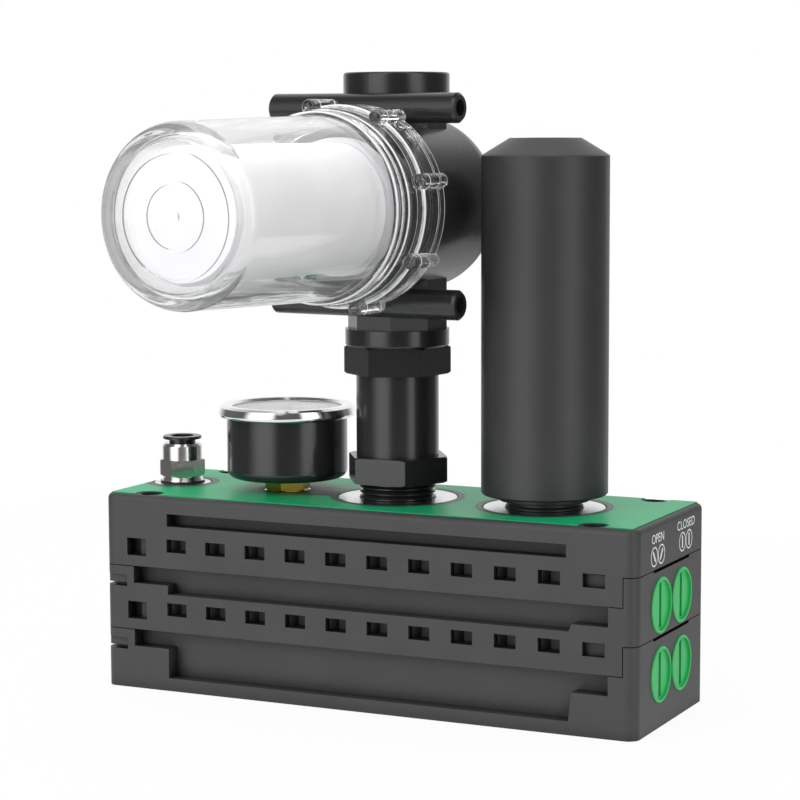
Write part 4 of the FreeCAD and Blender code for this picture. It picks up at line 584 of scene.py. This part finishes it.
def floor_material():
    made, tree, surface = shader("pale_floor", FLOOR_COLOUR, FLOOR_ROUGH)
    path = tree.nodes.new("ShaderNodeLightPath")
    along = split(tree, place_of(tree, "Object"))["Y"]
    fade = ranged(tree, along, *FLOOR_FADE, 1.0, FLOOR_FADED)
    mirrored = maths(tree, "MULTIPLY", path.outputs["Is Glossy Ray"], fade)
    seen = maths(tree, "MAXIMUM", path.outputs["Is Camera Ray"], mirrored)
    through = maths(tree, "MAXIMUM", seen, path.outputs["Is Transmission Ray"])
    share = maths(tree, "MULTIPLY", through, FLOOR_WHITE)
    white = tree.nodes.new("ShaderNodeEmission")
    white.inputs["Color"].default_value = PURE_WHITE
    mix = mixed_shaders(tree, share, surface.outputs[0], white.outputs[0])
    tree.links.new(mix, tree.nodes["Material Output"].inputs["Surface"])
    return made


build = bmesh.new()
for x, y in ((-1, -1), (1, -1), (1, 1), (-1, 1)):
    build.verts.new((x * FLOOR_REACH, y * FLOOR_REACH, FLOOR_HEIGHT))
build.faces.new(list(build.verts))
floor = linked("floor", mesh_from(build))
floor.data.materials.append(floor_material())


# Studio: white to the camera, a plain fill for diffuse light, and walls for mirrors and glass

FILL = 0.6
# Brightness of the studio walls, by the angle from -Y towards +X
WALLS = {-180: 1.0, -128: 1.0, -100: 0.15, -50: 0.12, -28: 2.2, -4: 2.2, 10: 0.12, 50: 0.12,
         60: 2.2, 76: 2.2, 92: 0.1, 125: 0.1, 154: 0.22, 174: 1.0, 180: 1.0}
# The walls fade below the horizon, over this span of a direction's Z
WALLS_FADE = (-0.4, -0.18)
WALLS_FADED = 0.1

world = bpy.data.worlds.new("studio")
scene.world = world
world.use_nodes = True
tree = world.node_tree
backdrop = tree.nodes["Background"]
backdrop.inputs["Color"].default_value = PURE_WHITE
direction = split(tree, place_of(tree, "Generated"))
angle = maths(tree, "ARCTAN2", direction["X"], maths(tree, "MULTIPLY", direction["Y"], -1))
round_share = ranged(tree, angle, -math.pi, math.pi, 0.0, 1.0)
walls = ramped(tree, round_share, [((turn + 180) / 360, (level, level, level))
                                   for turn, level in sorted(WALLS.items())])
fade = ranged(tree, direction["Z"], *WALLS_FADE, WALLS_FADED, 1.0)
path = tree.nodes.new("ShaderNodeLightPath")
shown = maths(tree, "MAXIMUM", path.outputs["Is Glossy Ray"],
              path.outputs["Is Transmission Ray"])
around = mixed_numbers(tree, shown, FILL, maths(tree, "MULTIPLY", fade, walls))
level = mixed_numbers(tree, path.outputs["Is Camera Ray"], around, 1.0)
tree.links.new(level, backdrop.inputs["Strength"])

# Lamps: place, width and length in metres, and power
AIM = (0, 0, 0.1)
LAMPS = {"key": ((-0.5, -0.95, 0.65), (0.85, 1.2), 9.5),
         "side": ((1.1, -0.3, 0.45), (0.6, 1.2), 2.4),
         "top": ((0.0, 0.2, 1.3), (1.4, 1.0), 7)}
for name, (spot, size, power) in LAMPS.items():
    light = bpy.data.lights.new(name, "AREA")
    light.shape = "RECTANGLE"
    light.size, light.size_y = size
    light.energy = power
    holder = linked(name, light)
    holder.location = spot
    holder.rotation_euler = (Vector(AIM) - Vector(spot)).to_track_quat("-Z", "Y").to_euler()
    holder.visible_glossy = False


# Camera at the photograph's angle

PHOTO_PX, FOCAL_PX = 800, 2498.3
SENSOR = 36
NEAREST = 0.05
CAMERA_SPOT = (372.9, -775.6, 200.5)
TURN, RISE, ROLL = math.radians(25.67), math.radians(6.46), math.radians(-0.19)
back = Vector((math.sin(TURN) * math.cos(RISE), -math.cos(TURN) * math.cos(RISE), math.sin(RISE)))
right = Vector((math.cos(TURN), math.sin(TURN), 0))
up = back.cross(right)
right_rolled = right * math.cos(ROLL) + up * math.sin(ROLL)
up_rolled = up * math.cos(ROLL) - right * math.sin(ROLL)
camera_data = bpy.data.cameras.new("camera")
camera_data.sensor_width = SENSOR
camera_data.lens = FOCAL_PX / PHOTO_PX * SENSOR
camera_data.clip_start = NEAREST
camera = linked("camera", camera_data)
turn = Matrix((right_rolled, up_rolled, back)).transposed().to_4x4()
turn.translation = Vector(CAMERA_SPOT) * MM
camera.matrix_world = turn
scene.camera = camera
